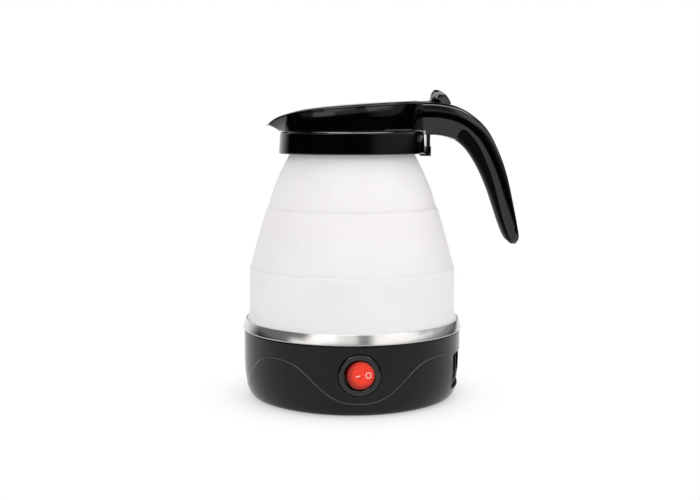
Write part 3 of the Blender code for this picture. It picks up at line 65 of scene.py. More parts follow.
# Base
BASE_RADIUS = 64.2 * MM
BASE_BOTTOM = 0.6 * MM
BASE_TOP = 40.5 * MM
BASE_WALL = 2.2 * MM
RIM_ROUND = 0.6 * MM
CORNER_WIDTH = 6.7 * MM
CORNER_HEIGHT = 19.8 * MM
CORNER_LEVELS = (8 * MM, 12 * MM)
FOOT_EDGE = 0.3 * MM
COVER_HOLE = 56.1 * MM
LEDGE_BOTTOM = 3.5 * MM
LEDGE_TOP = 5.3 * MM
LEDGE_RADIUS = 50.0 * MM
WAVE_COUNT = 4
WAVE_MIDDLE = 19.4 * MM
WAVE_RISE = 12.0 * MM
WAVE_HARMONIC = 0.8 * MM
WAVE_STEP = 0.3 * MM
WAVE_BEVEL = 0.7 * MM
SCREW_CIRCLE = 48.5 * MM
SCREW_AZIMUTHS = [radians(angle) for angle in (45, 165, 285)]

# Steel ring and pan
RING_RADIUS = 65.0 * MM
RING_BOTTOM = 40.8 * MM
RING_TOP = 46.7 * MM
RING_SLOPE = 1.7 * MM
RING_SHEET = 0.6 * MM
RING_LIP = 5.0 * MM
RING_ROLL = 0.45 * MM
RING_EDGE = 0.3 * MM
RING_LEAN = radians(16)
PAN_FLOOR = 35.9 * MM
PAN_SHEET = 0.8 * MM
PAN_RIM = 42.5 * MM
PAN_WALL = 55.2 * MM
PAN_FOOT = 53.5 * MM
PAN_FLANGE = 63.3 * MM
PAN_BEND = 1.5 * MM
PAN_RIM_BEND = ((-0.3 * MM, 0.8 * MM), (0.3 * MM, 0.1 * MM), (0.9 * MM, 0))
STUD_RADIUS = 3.1 * MM
STUD_BOTTOM = 19.9 * MM

# Switch
SWITCH_HEIGHT = 24.4 * MM
SWITCH_SEAT = 63.0 * MM
BEZEL_BACK = 63.3 * MM
BEZEL_FACE = 64.9 * MM
BEZEL_RADIUS = 11.5 * MM
BEZEL_ROUND = 0.9 * MM
WELL_ROUND = 0.5 * MM
SEAT_RADIUS = 12.0 * MM
BARREL_RADIUS = 9.7 * MM
BARREL_BACK = 47.3 * MM
WELL_RADIUS = 8.5 * MM
WELL_FLOOR = 54.9 * MM
ROCKER_RADIUS = 7.7 * MM
ROCKER_THICKNESS = 4.1 * MM
ROCKER_PIVOT = 62.0 * MM
ROCKER_VALLEY = 2.3 * MM
ROCKER_TILT = radians(10)
VALLEY_ROUND = 0.5 * MM
ROCKER_EDGE = 0.55 * MM
ROCKER_CUTS = (-5, -3.5, -2, -1, -0.4, 0, 0.4, 1, 2, 3.5, 5)
# Painted shade on the rocker's red: the point it darkens away from, and the distances over which it
# darkens
LENS_SHADE_CENTRE = (1.6 * MM, -ROCKER_PIVOT - ROCKER_VALLEY, SWITCH_HEIGHT + 0.8 * MM)
LENS_SHADE_SPAN = (5.0 * MM, 8.8 * MM)
MARK_BAR = (2.5 * MM, 0.5 * MM, 0.12 * MM)
MARK_BAR_PLACE = (-1.4 * MM, -0.3 * MM, radians(9))
MARK_RING = (1.3 * MM, 1.4 * MM, 0.35 * MM)
MARK_RING_PLACE = (4.4 * MM, 0.1 * MM, 0.0)
MARK_RING_STROKE = 0.16
MARK_SQUARE = 3.5

# Power inlet
INLET_AZIMUTH = radians(75)
INLET_HEIGHT = 18.2 * MM
INLET_FACE = 61.0 * MM
INLET_PLATE = (31.4 * MM, 20.4 * MM)
INLET_BODY = (27.0 * MM, 18.6 * MM)
INLET_CAVITY = (24.2 * MM, 16.2 * MM)
INLET_CORNER = 4.0 * MM
INLET_BACK = 44.5 * MM
INLET_STEP = 56.5 * MM
INLET_FLOOR = 46.5 * MM
INLET_PINS = ((-7.0 * MM, 16.4 * MM), (7.0 * MM, 16.4 * MM), (0.0, 20.4 * MM))
PIN_SIZE = (2.0 * MM, 4.0 * MM)
GAP = 0.3 * MM

# Silicone body
SILICONE_WALL = 1.6 * MM
SILICONE_HINGE = 0.9 * MM
BEAD_RADIUS = 63.4 * MM
BEAD_INNER = 59.6 * MM
BEAD_BOTTOM = 42.8 * MM
BEAD_TOP_RADIUS = 62.4 * MM
FLARE_RADIUS = 62.2 * MM
FLARE_TOP = 54.9 * MM
FLARE_DIP = 0.5 * MM
LOWER_RADIUS = 60.7 * MM
FOLD_LOW = 76.8 * MM
FOLD_HIGH = 111.8 * MM
FOLD_STEP = 0.6 * MM
UPPER_FOLD_STEP = 1.5 * FOLD_STEP
FOLD_BAND = 1.2 * MM
MIDDLE_TOP_RADIUS = 50.5 * MM
MIDDLE_BULGE = 0.2 * MM
UPPER_TOP_RADIUS = 36.6 * MM
UPPER_BULGE = 1.1 * MM
NECK_RADIUS = 35.1 * MM
SILICONE_FLANGE_RADIUS = 40.3 * MM
SILICONE_FLANGE_BOTTOM = 145.3 * MM
SILICONE_TOP = 147.3 * MM

# Collar
COLLAR_BOTTOM = 143.4 * MM
COLLAR_TOP = 156.8 * MM
COLLAR_RADIUS = 43.0 * MM
COLLAR_DRAFT = 0.7 * MM
COLLAR_EDGE = 0.6 * MM
COLLAR_INNER = 40.6 * MM
COLLAR_HOLE = 36.9 * MM
COLLAR_WEB = 1.6 * MM
SEAM_DROP = 0.5 * MM
COLLAR_ROUND = 1.3 * MM
COLLAR_SHOULDER = ((0.0, 0.0), (0.1, 0.02), (0.25, 0.075), (0.5, 0.19), (0.75, 0.31), (0.9, 0.4),
                   (1.0, 0.55))

# Spout housing
HOUSING_RADIUS = 42.0 * MM
HOUSING_BOTTOM = 157.1 * MM
HOUSING_WALL = 1.6 * MM
HOUSING_EDGE = 0.35 * MM
HOUSING_LEAN = 0.55 * MM
LEAN_START = 0.5
LEAN_END_ANGLES = (radians(114), radians(138))
DECK_TOP = 158.6 * MM
SKIRT_RADIUS = 40.3 * MM
SKIRT_INNER = 38.5 * MM
SKIRT_BOTTOM = 147.6 * MM
NECK_BORE = 36.0 * MM
SPOUT_REACH = 49.0 * MM
SPOUT_INNER = 46.4 * MM
SPOUT_TIP_ANGLE = radians(4)
BEAK_FLARE = 5.8 * MM
BEAK_CURVE = 1.5

# Lid
LID_REACH = 50.5 * MM
LID_REAR = 37.6 * MM
LID_THICKNESS = 1.6 * MM
LID_CROWN = 1.2 * MM
LID_SHOULDER = 2.6 * MM
LID_RIM_INSET = 0.02 * MM
LID_UNDER_INSET = 2.0 * MM
LID_LEAN = 0.98
LID_TIP_EDGE = 0.6 * MM
LID_TIP_ANGLES = (radians(28), radians(55))
RIM_DROP = 1.9 * MM
RIM_DROP_AT_TIP = 1.25 * MM
LID_TOP = 174.3 * MM
LID_RISE = 14.4 * MM
LID_RUN = 89.2 * MM
LID_CONTOUR_SHARES = ((0, 0), (0.05, 0.25), (0.105, 0.41), (0.263, 0.667), (0.58, 0.875), (1, 1))
LID_SKIRT_RADIUS = 36.9 * MM
LID_SKIRT_WALL = 1.3 * MM
LID_SKIRT_DEPTH = 4.5 * MM
LID_POUR_ANGLE = radians(40)

# Hinge and thumb lever
HINGE = Vector((46.5 * MM, 0, 168.0 * MM))
HINGE_PIN = 1.0 * MM
HINGE_SEAT = 1.6 * MM
KNUCKLE_RADIUS = 2.6 * MM
LEVER_HALF = 4.6 * MM
LEVER_RISE = 12.65 * MM
LEVER_CREST = 1.8 * MM
LEVER_REACH = 11.9 * MM
LEVER_FALL = 4.2 * MM
LEVER_SHEET = 2.0 * MM
LEVER_FLAT = 2.2 * MM
LEVER_ROOT = 6.0 * MM
LEVER_CROWN = 0.72
LEVER_EDGE = 0.35 * MM
LEVER_SHARES = ((0.36, 0.97), (0.62, 0.78), (0.82, 0.5), (1, 0.07), (0.97, -0.04), (0.86, -0.12))

# Handle
HANDLE_START = 39.0 * MM
HANDLE_TOP = 174.0 * MM
HANDLE_REACH = 60.3 * MM
HANDLE_DROP = 84.2 * MM
ROOT_HALF = 10.0 * MM
HANDLE_WIDTH_SHARES = (1, 1, 1, 0.98, 0.95, 0.92, 0.9, 0.88, 0.84, 0.78, 0.5)
HANDLE_OUTER_SHARES = (
    (0, 0), (0.20, 0.008), (0.37, 0.036), (0.525, 0.096), (0.674, 0.198), (0.793, 0.357),
    (0.875, 0.523), (0.939, 0.719), (0.985, 0.879), (1, 0.957), (0.976, 0.999))
HANDLE_INNER_SHARES = (
    (0, 0.235), (0.19, 0.236), (0.34, 0.262), (0.426, 0.299), (0.509, 0.366), (0.597, 0.47),
    (0.68, 0.601), (0.753, 0.746), (0.819, 0.879), (0.872, 0.960), (0.928, 1.001))
HANDLE_RINGS = 84
HANDLE_SIDE = (
    (0.0, 0.88), (0.15, 0.905), (0.3, 0.94), (0.42, 0.975), (0.5, 0.995), (0.56, 1.0),
    (0.64, 0.995), (0.72, 0.982), (0.8, 0.96), (0.87, 0.93), (0.92, 0.885), (0.955, 0.82),
    (0.98, 0.7), (1.0, 0.45), (1.0, 0.2), (1.0, 0.0))
GRIP_START_SHARE = 0.22
GRIP_NOSE_SHARE = 0.07
GRIP_SHARE = 0.42
GRIP_SHARE_AT_TIP = 0.20
GRIP_TAPER_END = 0.75
GRIP_CLEARANCE = 0.15 * MM
GRIP_RIB = 0.17 * MM
GRIP_RIB_HALF = 0.45
GRIP_BACK_HALF = 0.5
GRIP_BACK_INSET = 0.09
GRIP_INSET = 0.04
GRIP_FRONT_ROUND = 0.4
GRIP_FRONT_HALF = 0.3
SHELL_START = 0.02
SHELL_LIP = ((0, 0.07), (0.008, 0.02))
SLOT_HALF = 5.2 * MM
SLOT_END = 60.5 * MM
SLOT_STEP = 49.0 * MM
SLOT_SHALLOW = 164.2 * MM
SLOT_FLOOR = 156.8 * MM
RECESS_END = 47.9 * MM
RECESS_TOP = 158.4 * MM

# Latch clip
LATCH = Vector((44.9 * MM, 0, 156.6 * MM))
LATCH_BARREL = 1.5 * MM
LATCH_HALF = 4.3 * MM
LATCH_TAB = 1.7 * MM
LATCH_BLOCK_LEFT = 43.3 * MM
LATCH_BLOCK_WIDTH = 3.0 * MM
LATCH_BLOCK_HEIGHT = 4.5 * MM
LATCH_TOE = 1.2 * MM
LATCH_HOOK = 3.0 * MM
LATCH_EDGE = 0.18 * MM

# Finishes
NOISE_SPAN = (0.3, 0.7)
CLOUD_SCALE = 60
WEAR_SCALE = 260
# Painted highlight along the base's wavy step: the distances over which it fades out, and its paler
# colour
PAINTED_HIGHLIGHT_SPAN = (0.1 * MM, 0.42 * MM)
PAINTED_HIGHLIGHT_COLOUR = (0.075, 0.073, 0.072, 1)
# Colours up the silicone from the steel ring to the collar: cooler and darker at the bottom, warmer
# higher up, and paler right under the collar, where the paleness is painted light against the
# collar's shadow
SILICONE_TINT_AND_PAINTED_LIGHT = ((0, (0.85, 0.845, 0.845)), (0.3, (0.885, 0.845, 0.838)),
                    (0.55, (0.93, 0.853, 0.842)), (0.85, (0.93, 0.858, 0.846)),
                    (1, (0.96, 0.915, 0.89)))

# Camera, floor, and each lamp's name, place, size and power
CAMERA_HEIGHT = 157.9 * MM
CAMERA_DISTANCE = 650.0 * MM
CAMERA_AZIMUTH = radians(-3.7)
CAMERA_PITCH = radians(6.3)
CAMERA_LENS = 56.5
CAMERA_SHIFT = -0.0029
SENSOR_WIDTH = 36.0
CLIP_START = 0.01
LAMPS = (("key", (-0.5, -1.1, 0.5), 0.9, 5.9), ("top", (0.1, 0.1, 1.25), 1.1, 6.4),
         ("fill", (1.1, -0.5, 0.45), 0.8, 3.6))
LAMP_AIM = Vector((0, 0, 0.09))
SOFT_COLOUR = (1, 0.995, 0.985, 1)
SOFT_STRENGTH = 0.55
FLOOR_SIZE = 6
FLOOR_WHITE = (0.02, 0.098)
FLOOR_DARK = (1.1, 1.9)
FLOOR_BACK = (0.8, 0.5)

# Brightness of what gloss shows of the room
LEFT_BOX = 1.65
MIDDLE_BOX = 1.1
RIGHT_BOX = 1.45
RIGHT_WALL = 0.62
RIGHT_FOOT = 0.28
END_WALLS = 0.19
STREAK = 1.5
STREAK_MIDDLE = 0.35
LEFT_LAMP = 8.0
RIGHT_LAMP = 6.2
DIM_LAMP = 3.2


# --- Finishes -----------------------------------------------------------------------------------

def dial(tree, made, inputs):
    """Sets a node's inputs, each to a plain value or from another node's output."""
    for name, value in inputs.items():
        if isinstance(value, bpy.types.NodeSocket):
            tree.links.new(value, made.inputs[name])
        else:
            made.inputs[name].default_value = value


def node(tree, kind, inputs=None, **settings):
    made = tree.nodes.new("ShaderNode" + kind)
    for name, value in settings.items():
        setattr(made, name, value)
    dial(tree, made, inputs or {})
    return made


def start_material(name, colour, roughness, metallic=0.0):
    material = bpy.data.materials.new(name)
    material.use_nodes = True
    material.diffuse_color = (*colour, 1)
    tree = material.node_tree
    shader = tree.nodes["Principled BSDF"]
    dial(tree, shader, {"Base Color": (*colour, 1), "Roughness": roughness, "Metallic": metallic})
    return material, tree, shader


def noise(tree, scale, detail=3.0, place=None):
    """Noise on the piece's own coordinates, or on a place made from them."""
    if place is None:
        place = node(tree, "TexCoord").outputs["Object"]
    inputs = {"Vector": place, "Scale": scale, "Detail": detail}
    return node(tree, "TexNoise", inputs).outputs["Fac"]


def ranged(tree, value, low, high, span=NOISE_SPAN, curve="LINEAR"):
    """A value's span turned into another range, and held at its ends."""
    made = node(tree, "MapRange", {"Value": value, "From Min": span[0], "From Max": span[1],
                                   "To Min": low, "To Max": high}, interpolation_type=curve)
    return made.outputs["Result"]


def ramp(tree, value, *stops):
    """Colours along a value, from (position, colour) stops in order."""
    made = node(tree, "ValToRGB", {"Fac": value})
    elements = made.color_ramp.elements
    elements[0].position, elements[1].position = stops[0][0], stops[-1][0]
    for position, _ in stops[1:-1]:
        elements.new(position)
    for element, (_, colour) in zip(elements, stops):
        element.color = (*colour, 1)
    return made.outputs["Color"]


def clouded(tree, value, shade, colour):
    return ramp(tree, value, (NOISE_SPAN[0], shade), (NOISE_SPAN[1], colour))


def blended(tree, first, second, factor=1.0, kind="MULTIPLY"):
    inputs = {"Factor": factor, "A": first, "B": second}
    return node(tree, "Mix", inputs, data_type="RGBA", blend_type=kind).outputs["Result"]


def bumped(tree, value, depth, strength=1.0, base=None):
    inputs = {"Height": value, "Distance": depth, "Strength": strength}
    if base is not None:
        inputs["Normal"] = base
    return node(tree, "Bump", inputs).outputs["Normal"]


class Sum:
    """A number worked out by nodes. A sum on it adds the nodes that the sum needs."""

    def __init__(self, tree, socket):
        self.tree, self.socket = tree, socket

    def work(self, operation, *others):
        values = [item.socket if isinstance(item, Sum) else item for item in (self, *others)]
        made = node(self.tree, "Math", dict(enumerate(values)), operation=operation)
        return Sum(self.tree, made.outputs["Value"])

    def __add__(self, other):
        return self.work("ADD", other)

    def __sub__(self, other):
        return self.work("SUBTRACT", other)

    def __mul__(self, other):
        return self.work("MULTIPLY", other)

    def __truediv__(self, other):
        return self.work("DIVIDE", other)

    def __abs__(self):
        return self.work("ABSOLUTE")

    def step(self, low, high):
        """0 at the first number, 1 at the second, with a soft run between them."""
        share = ranged(self.tree, self.socket, 0.0, 1.0, (low, high), "SMOOTHSTEP")
        return Sum(self.tree, share)


def brightest(first, *others):
    for other in others:
        first = first.work("MAXIMUM", other)
    return first


def coordinates(tree, source):
    place = node(tree, "TexCoord").outputs[source]
    parts = node(tree, "SeparateXYZ", {"Vector": place})
    return [Sum(tree, parts.outputs[axis]) for axis in "XYZ"]


def moulded(name, colour, shade, roughness, spread, grain, depth,
            ior=1.46, gloss=0.5, metallic=0.0):
    """Plain moulded or drawn stuff: a slight cloud in its colour, uneven gloss and a fine grain."""
    material, tree, shader = start_material(name, colour, roughness, metallic)
    wear = noise(tree, WEAR_SCALE, 4.0)
    dial(tree, shader, {
        "IOR": ior, "Specular IOR Level": gloss,
        "Base Color": clouded(tree, noise(tree, CLOUD_SCALE, 2.0), shade, colour),
        "Roughness": ranged(tree, wear, roughness - spread, roughness + spread),
        "Normal": bumped(tree, noise(tree, grain), depth)})
    return material


def turned_metal(name, colour, shade, roughness, spread, lines=2600, depth=0.004 * MM):
    """Metal with fine lines that run round the kettle's axis."""
    material, tree, shader = start_material(name, colour, roughness, 1.0)
    place = node(tree, "TexCoord").outputs["Object"]
    height = node(tree, "SeparateXYZ", {"Vector": place}).outputs["Z"]
    flat = node(tree, "VectorMath", {0: place, 1: (1, 1, 0)}, operation="MULTIPLY")
    radius = node(tree, "VectorMath", {0: flat.outputs["Vector"]}, operation="LENGTH")
    round_axis = node(tree, "CombineXYZ", {"X": radius.outputs["Value"], "Z": height})
    lined = noise(tree, lines, 2.0, round_axis.outputs["Vector"])
    dial(tree, shader, {
        "Base Color": clouded(tree, lined, shade, colour),
        "Roughness": ranged(tree, lined, roughness - spread, roughness + spread),
        "Normal": bumped(tree, lined, depth, 0.5)})
    return material


def base_plastic():
    """Glossy black base whose wavy step carries a painted highlight: a thin paler line in its
    colour.
    """
    material = moulded("base_black", (0.0016, 0.0016, 0.0018), (0.0011, 0.0011, 0.0013),
                       0.13, 0.03, 420, 0.006 * MM, gloss=0.3)
    tree = material.node_tree
    colour = tree.nodes["Principled BSDF"].inputs["Base Color"]
    x, y, z = coordinates(tree, "Object")
    azimuth = x.work("ARCTAN2", y * -1.0)
    main = (azimuth * WAVE_COUNT).work("COSINE") * -WAVE_RISE
    fine = (azimuth * (3 * WAVE_COUNT)).work("COSINE") * WAVE_HARMONIC
    away = abs(z - (main + fine + WAVE_MIDDLE))
    # Painted highlight: a paler line in the colour along the wavy step
    line = ranged(tree, away.socket, 1.0, 0.0, PAINTED_HIGHLIGHT_SPAN, "SMOOTHSTEP")
    tree.links.new(blended(tree, colour.links[0].from_socket, PAINTED_HIGHLIGHT_COLOUR, line, "MIX"), colour)
    return material


def milky_silicone():
    """Milky silicone: soft light inside it, faint clouds, a fine satin skin, and a colour that runs
    up from the steel ring to the collar, paler right under the collar as painted light.
    """
    material, tree, shader = start_material("milky_silicone", (0.86, 0.845, 0.83), 0.5)
    height = coordinates(tree, "Object")[2].socket
    share = ranged(tree, height, 0.0, 1.0, (RING_TOP, COLLAR_BOTTOM))
    cloud = clouded(tree, noise(tree, 45), (0.965, 0.965, 0.965), (1, 1, 1))
    skin = bumped(tree, noise(tree, 1800, 2.0), 0.02 * MM, 0.6)
    dial(tree, shader, {
        "IOR": 1.41, "Subsurface Weight": 0.55, "Subsurface Radius": (1.0, 0.85, 0.75),
        "Subsurface Scale": 6.0 * MM,
        # Colour up the height: warmer higher up, with painted light right under the collar
        "Base Color": blended(tree, ramp(tree, share, *SILICONE_TINT_AND_PAINTED_LIGHT), cloud),
        "Roughness": ranged(tree, noise(tree, 300, 4.0), 0.42, 0.58),
        "Normal": bumped(tree, noise(tree, 38, 1.0), 0.25 * MM, 0.5, skin)})
    return material


def red_lens():
    """Clear red plastic: bright red in the middle, darkened to deep red towards its rim by painted
    shade that lies more on its left, the spout's side.
    """
    material, tree, shader = start_material("red_lens", (0.86, 0.035, 0.014), 0.16)
    place = node(tree, "TexCoord").outputs["Object"]
    # Painted shade: the red darkens to deep red away from this point
    away = node(tree, "VectorMath", {0: place, 1: LENS_SHADE_CENTRE}, operation="DISTANCE")
    spread = ranged(tree, away.outputs["Value"], 0.0, 1.0, LENS_SHADE_SPAN)
    red = ramp(tree, spread, (0, (0.86, 0.045, 0.018)), (1, (0.16, 0.004, 0.004)))
    specks = clouded(tree, noise(tree, 1100), (0.8, 0.6, 0.6), (1, 1, 1))
    dial(tree, shader, {
        "IOR": 1.49, "Specular IOR Level": 0.3, "Subsurface Weight": 0.2,
        "Subsurface Radius": (1.0, 0.2, 0.1), "Subsurface Scale": 2.0 * MM,
        "Base Color": blended(tree, red, specks),
        "Roughness": ranged(tree, noise(tree, 700), 0.12, 0.2),
        "Normal": bumped(tree, noise(tree, 900, 2.0), 0.006 * MM, 0.6)})
    return material


# Colour, shade, roughness and its spread, grain's scale and depth; index, gloss and metal where
# they aren't as usual.
MOULDED = {
    "gloss_black": ((0.0009, 0.0009, 0.0011), (0.0006, 0.0006, 0.0008),
                    0.08, 0.02, 420, 0.005 * MM, 1.5),
    "satin_black": ((0.006, 0.006, 0.0065), (0.004, 0.004, 0.0045), 0.42, 0.06, 2600, 0.03 * MM),
    "grip_black": ((0.0012, 0.0012, 0.0013), (0.0008, 0.0008, 0.0009),
                   0.42, 0.05, 2600, 0.02 * MM, 1.46, 0.05),
    "rubber_black": ((0.02, 0.02, 0.02), (0.012, 0.012, 0.012), 0.72, 0.08, 1800, 0.05 * MM),
    "mark_white": ((0.86, 0.62, 0.56), (0.80, 0.55, 0.50), 0.4, 0.05, 1500, 0.004 * MM),
    "screw_steel": ((0.60, 0.59, 0.58), (0.50, 0.49, 0.48),
                    0.3, 0.08, 1200, 0.01 * MM, 1.46, 0.5, 1.0),
    "brass": ((0.72, 0.52, 0.22), (0.60, 0.42, 0.17),
              0.28, 0.07, 1500, 0.01 * MM, 1.46, 0.5, 1.0),
    "ceramic": ((0.74, 0.71, 0.64), (0.66, 0.63, 0.56), 0.6, 0.08, 1800, 0.03 * MM),
    "lamp_glass": ((0.85, 0.45, 0.25), (0.78, 0.38, 0.2), 0.12, 0.03, 900, 0.004 * MM),
    "wire_brown": ((0.14, 0.055, 0.02), (0.11, 0.04, 0.015), 0.5, 0.06, 1500, 0.02 * MM),
    "wire_blue": ((0.03, 0.10, 0.45), (0.02, 0.08, 0.38), 0.5, 0.06, 1500, 0.02 * MM),
    "wire_green": ((0.10, 0.42, 0.08), (0.42, 0.42, 0.05), 0.5, 0.06, 1500, 0.02 * MM),
    "wire_white": ((0.74, 0.74, 0.71), (0.66, 0.66, 0.63), 0.6, 0.06, 1500, 0.02 * MM),
}
FINISHES = {name: moulded(name, *row) for name, row in MOULDED.items()}
FINISHES.update({
    "base_black": base_plastic(),
    "white_silicone": milky_silicone(),
    "red_lens": red_lens(),
    "steel": turned_metal("steel", (0.72, 0.705, 0.69), (0.64, 0.625, 0.61),
                          0.19, 0.03, depth=0.002 * MM),
    "aluminium": turned_metal("aluminium", (0.72, 0.72, 0.73), (0.62, 0.62, 0.63),
                              0.38, 0.06, 1400),
})


# --- Making shapes ------------------------------------------------------------------------------

def held(share):
    return min(max(share, 0), 1)


def between(start, end, share):
    return start + (end - start) * share


def eased(value, low, high):
    share = held((value - low) / (high - low))
    return share * share * (3 - 2 * share)


def at_azimuth(radius, azimuth, height):
    return Vector((radius * sin(azimuth), -radius * cos(azimuth), height))


def arc(centre, radius, start, end, steps):
    """Points of a round stretch of an outline; angles count from +X towards +Z."""
    angles = [start + (end - start) * i / steps for i in range(steps + 1)]
    return [(centre[0] + radius * cos(a), centre[1] + radius * sin(a)) for a in angles]


def on_span(points, i, f):
    """The point at a share of the i-th span of a smooth curve through the given ones."""
    a, b = points[i], points[i + 1]
    before = points[i - 1] if i else a * 2 - b
    after = points[i + 2] if i + 2 < len(points) else b * 2 - a
    return (a * 2 + (b - before) * f + (before * 2 - a * 5 + b * 4 - after) * f ** 2
            + (a * 3 - before - b * 3 + after) * f ** 3) / 2


def smooth_points(points, per_span):
    spots = [(i, k / per_span) for i in range(len(points) - 1) for k in range(per_span)]
    return [on_span(points, i, f) for i, f in spots] + [points[-1]]


def curve_at(points, share):
    place = held(share) * (len(points) - 1)
    i = min(int(place), len(points) - 2)
    return on_span(points, i, place - i)


def tidied(bm):
    bmesh.ops.remove_doubles(bm, verts=bm.verts, dist=0.001 * MM)
    bmesh.ops.recalc_face_normals(bm, faces=bm.faces)
    return bm


def only(kind, items):
    return [item for item in items if isinstance(item, kind)]


def spun(outline, turns=FINE_TURN, closed=True):
    """A shape turned round Z from (radius, height) points."""
    bm = bmesh.new()
    verts = [bm.verts.new((radius, 0, height)) for radius, height in outline]
    edges = [bm.edges.new(pair) for pair in zip(verts, verts[1:])]
    if closed:
        edges.append(bm.edges.new((verts[-1], verts[0])))
    bmesh.ops.spin(bm, geom=verts + edges, axis=(0, 0, 1), cent=(0, 0, 0), angle=tau,
                   steps=turns, use_merge=True)
    return tidied(bm)


def wrapped(rows, stations, closed=False, caps=False):
    """A skin drawn out ring by ring; each row turns a station, such as an angle, into a place."""
    bm = bmesh.new()
    number = bm.verts.layers.int.new("number")
    verts = bmesh.ops.create_circle(bm, segments=len(stations), radius=1)["verts"]
    for i, vert in enumerate(verts):
        vert[number] = i
        vert.co = rows[0](stations[i])
    first = edges = bm.edges[:]
    for row in rows[1:]:
        made = bmesh.ops.extrude_edge_only(bm, edges=edges)["geom"]
        for vert in only(bmesh.types.BMVert, made):
            vert.co = row(stations[vert[number]])
        edges = [edge for edge in only(bmesh.types.BMEdge, made) if edge.is_boundary]
    if closed:
        bmesh.ops.bridge_loops(bm, edges=first + edges)
    if caps:
        bmesh.ops.edgeloop_fill(bm, edges=first)
        bmesh.ops.edgeloop_fill(bm, edges=edges)
    return tidied(bm)


def drawn_out(outline, half_width, rows=2):
    """An outline of (x, z) points drawn out along Y to both sides."""
    bm = bmesh.new()
    face = bm.faces.new([bm.verts.new((x, -half_width, z)) for x, z in outline])
    step = Vector((0, 2 * half_width / (rows - 1), 0))
    for _ in range(rows - 1):
        made = bmesh.ops.extrude_face_region(bm, geom=[face])["geom"]
        bmesh.ops.translate(bm, verts=only(bmesh.types.BMVert, made), vec=step)
        face = only(bmesh.types.BMFace, made)[0]
    inner = [f for f in bm.faces if len(f.verts) == len(outline)
             and abs(abs(f.calc_center_median().y) - half_width) > 0.01 * MM]
    bmesh.ops.delete(bm, geom=inner, context="FACES_ONLY")
    return tidied(bm)


def box(size, middle=(0, 0, 0)):
    bm = bmesh.new()
    matrix = Matrix.Translation(middle) @ Matrix.Diagonal((*size, 1))
    bmesh.ops.create_cube(bm, size=1, matrix=matrix)
    return bm


def disc_rod(radius, start, end, sides=SMALL_TURN):
    """A round bar from one point to another."""
    start, end = Vector(start), Vector(end)
    along = end - start
    turn = along.to_track_quat("Z", "Y").to_matrix().to_4x4()
    bm = bmesh.new()
    bmesh.ops.create_cone(bm, cap_ends=True, segments=sides, radius1=radius, radius2=radius,
                          depth=along.length, matrix=Matrix.Translation((start + end) / 2) @ turn)
    return bm


def bevelled(bm, edges, width, segments):
    bmesh.ops.bevel(bm, geom=edges, offset=width, offset_type="OFFSET", segments=segments,
                    profile=0.5, affect="EDGES", clamp_overlap=True, material=-1)
    return bm


def softened(bm, width, segments=3, least=radians(30)):
    """Rounds the edges whose faces meet at more than the least angle."""
    edges = [edge for edge in bm.edges if edge.is_manifold and edge.calc_face_angle(0) > least]
    return bevelled(bm, edges, width, segments)


def moved(bm, matrix):
    bmesh.ops.transform(bm, matrix=matrix, verts=bm.verts)
    return bm


def facing(bm, height, azimuth=0.0):
    """A shape turned round Z, with Z as its outward direction, laid to face an azimuth."""
    lay = Matrix.Translation((0, 0, height)) @ Matrix.Rotation(pi / 2, 4, "X")
    return moved(bm, Matrix.Rotation(azimuth, 4, "Z") @ lay)


def to_object(name, bm, sharp=SHARP_ANGLE):
    mesh = bpy.data.meshes.new(name)
    bm.to_mesh(mesh)
    bm.free()
    mesh.shade_smooth()
    mesh.set_sharp_from_angle(angle=sharp)
    obj = bpy.data.objects.new(name, mesh)
    bpy.context.scene.collection.objects.link(obj)
    return obj


def carve(obj, tools, operation="DIFFERENCE", sharp=SHARP_ANGLE):
    """Cuts shapes out of a piece, or joins them to it, and keeps the result as its mesh."""
    guides = []
    for i, tool in enumerate(tools):
        guide = to_object(f"{obj.name}_guide_{i}", tool)
        modifier = obj.modifiers.new(f"carve_{i}", "BOOLEAN")
        modifier.operation = operation
        modifier.solver = "EXACT"
        modifier.object = guide
        guides.append(guide)
    bpy.context.view_layer.update()
    mesh = bpy.data.meshes.new_from_object(obj.evaluated_get(bpy.context.evaluated_depsgraph_get()))
    obj.modifiers.clear()
    obj.data = mesh
    for guide in guides:
        bpy.data.objects.remove(guide, do_unlink=True)
    mesh.shade_smooth()
    mesh.set_sharp_from_angle(angle=sharp)
    return obj


def finished(obj, finish, body, nodes):
    obj.data.materials.clear()
    obj.data.materials.append(FINISHES[finish])
    if body:
        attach(obj, body)
    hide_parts(*nodes)
    return obj


# --- Base ---------------------------------------------------------------------------------------

def base_outer(height):
    corner_top = BASE_BOTTOM + CORNER_HEIGHT
    if height >= corner_top:
        return BASE_RADIUS
    drop = min((corner_top - height) / CORNER_HEIGHT, 1)
    return BASE_RADIUS - CORNER_WIDTH * (1 - sqrt(1 - drop ** 2))


def wave_height(azimuth):
    main = WAVE_MIDDLE - WAVE_RISE * cos(WAVE_COUNT * azimuth)
    return main + WAVE_HARMONIC * cos(3 * WAVE_COUNT * azimuth)


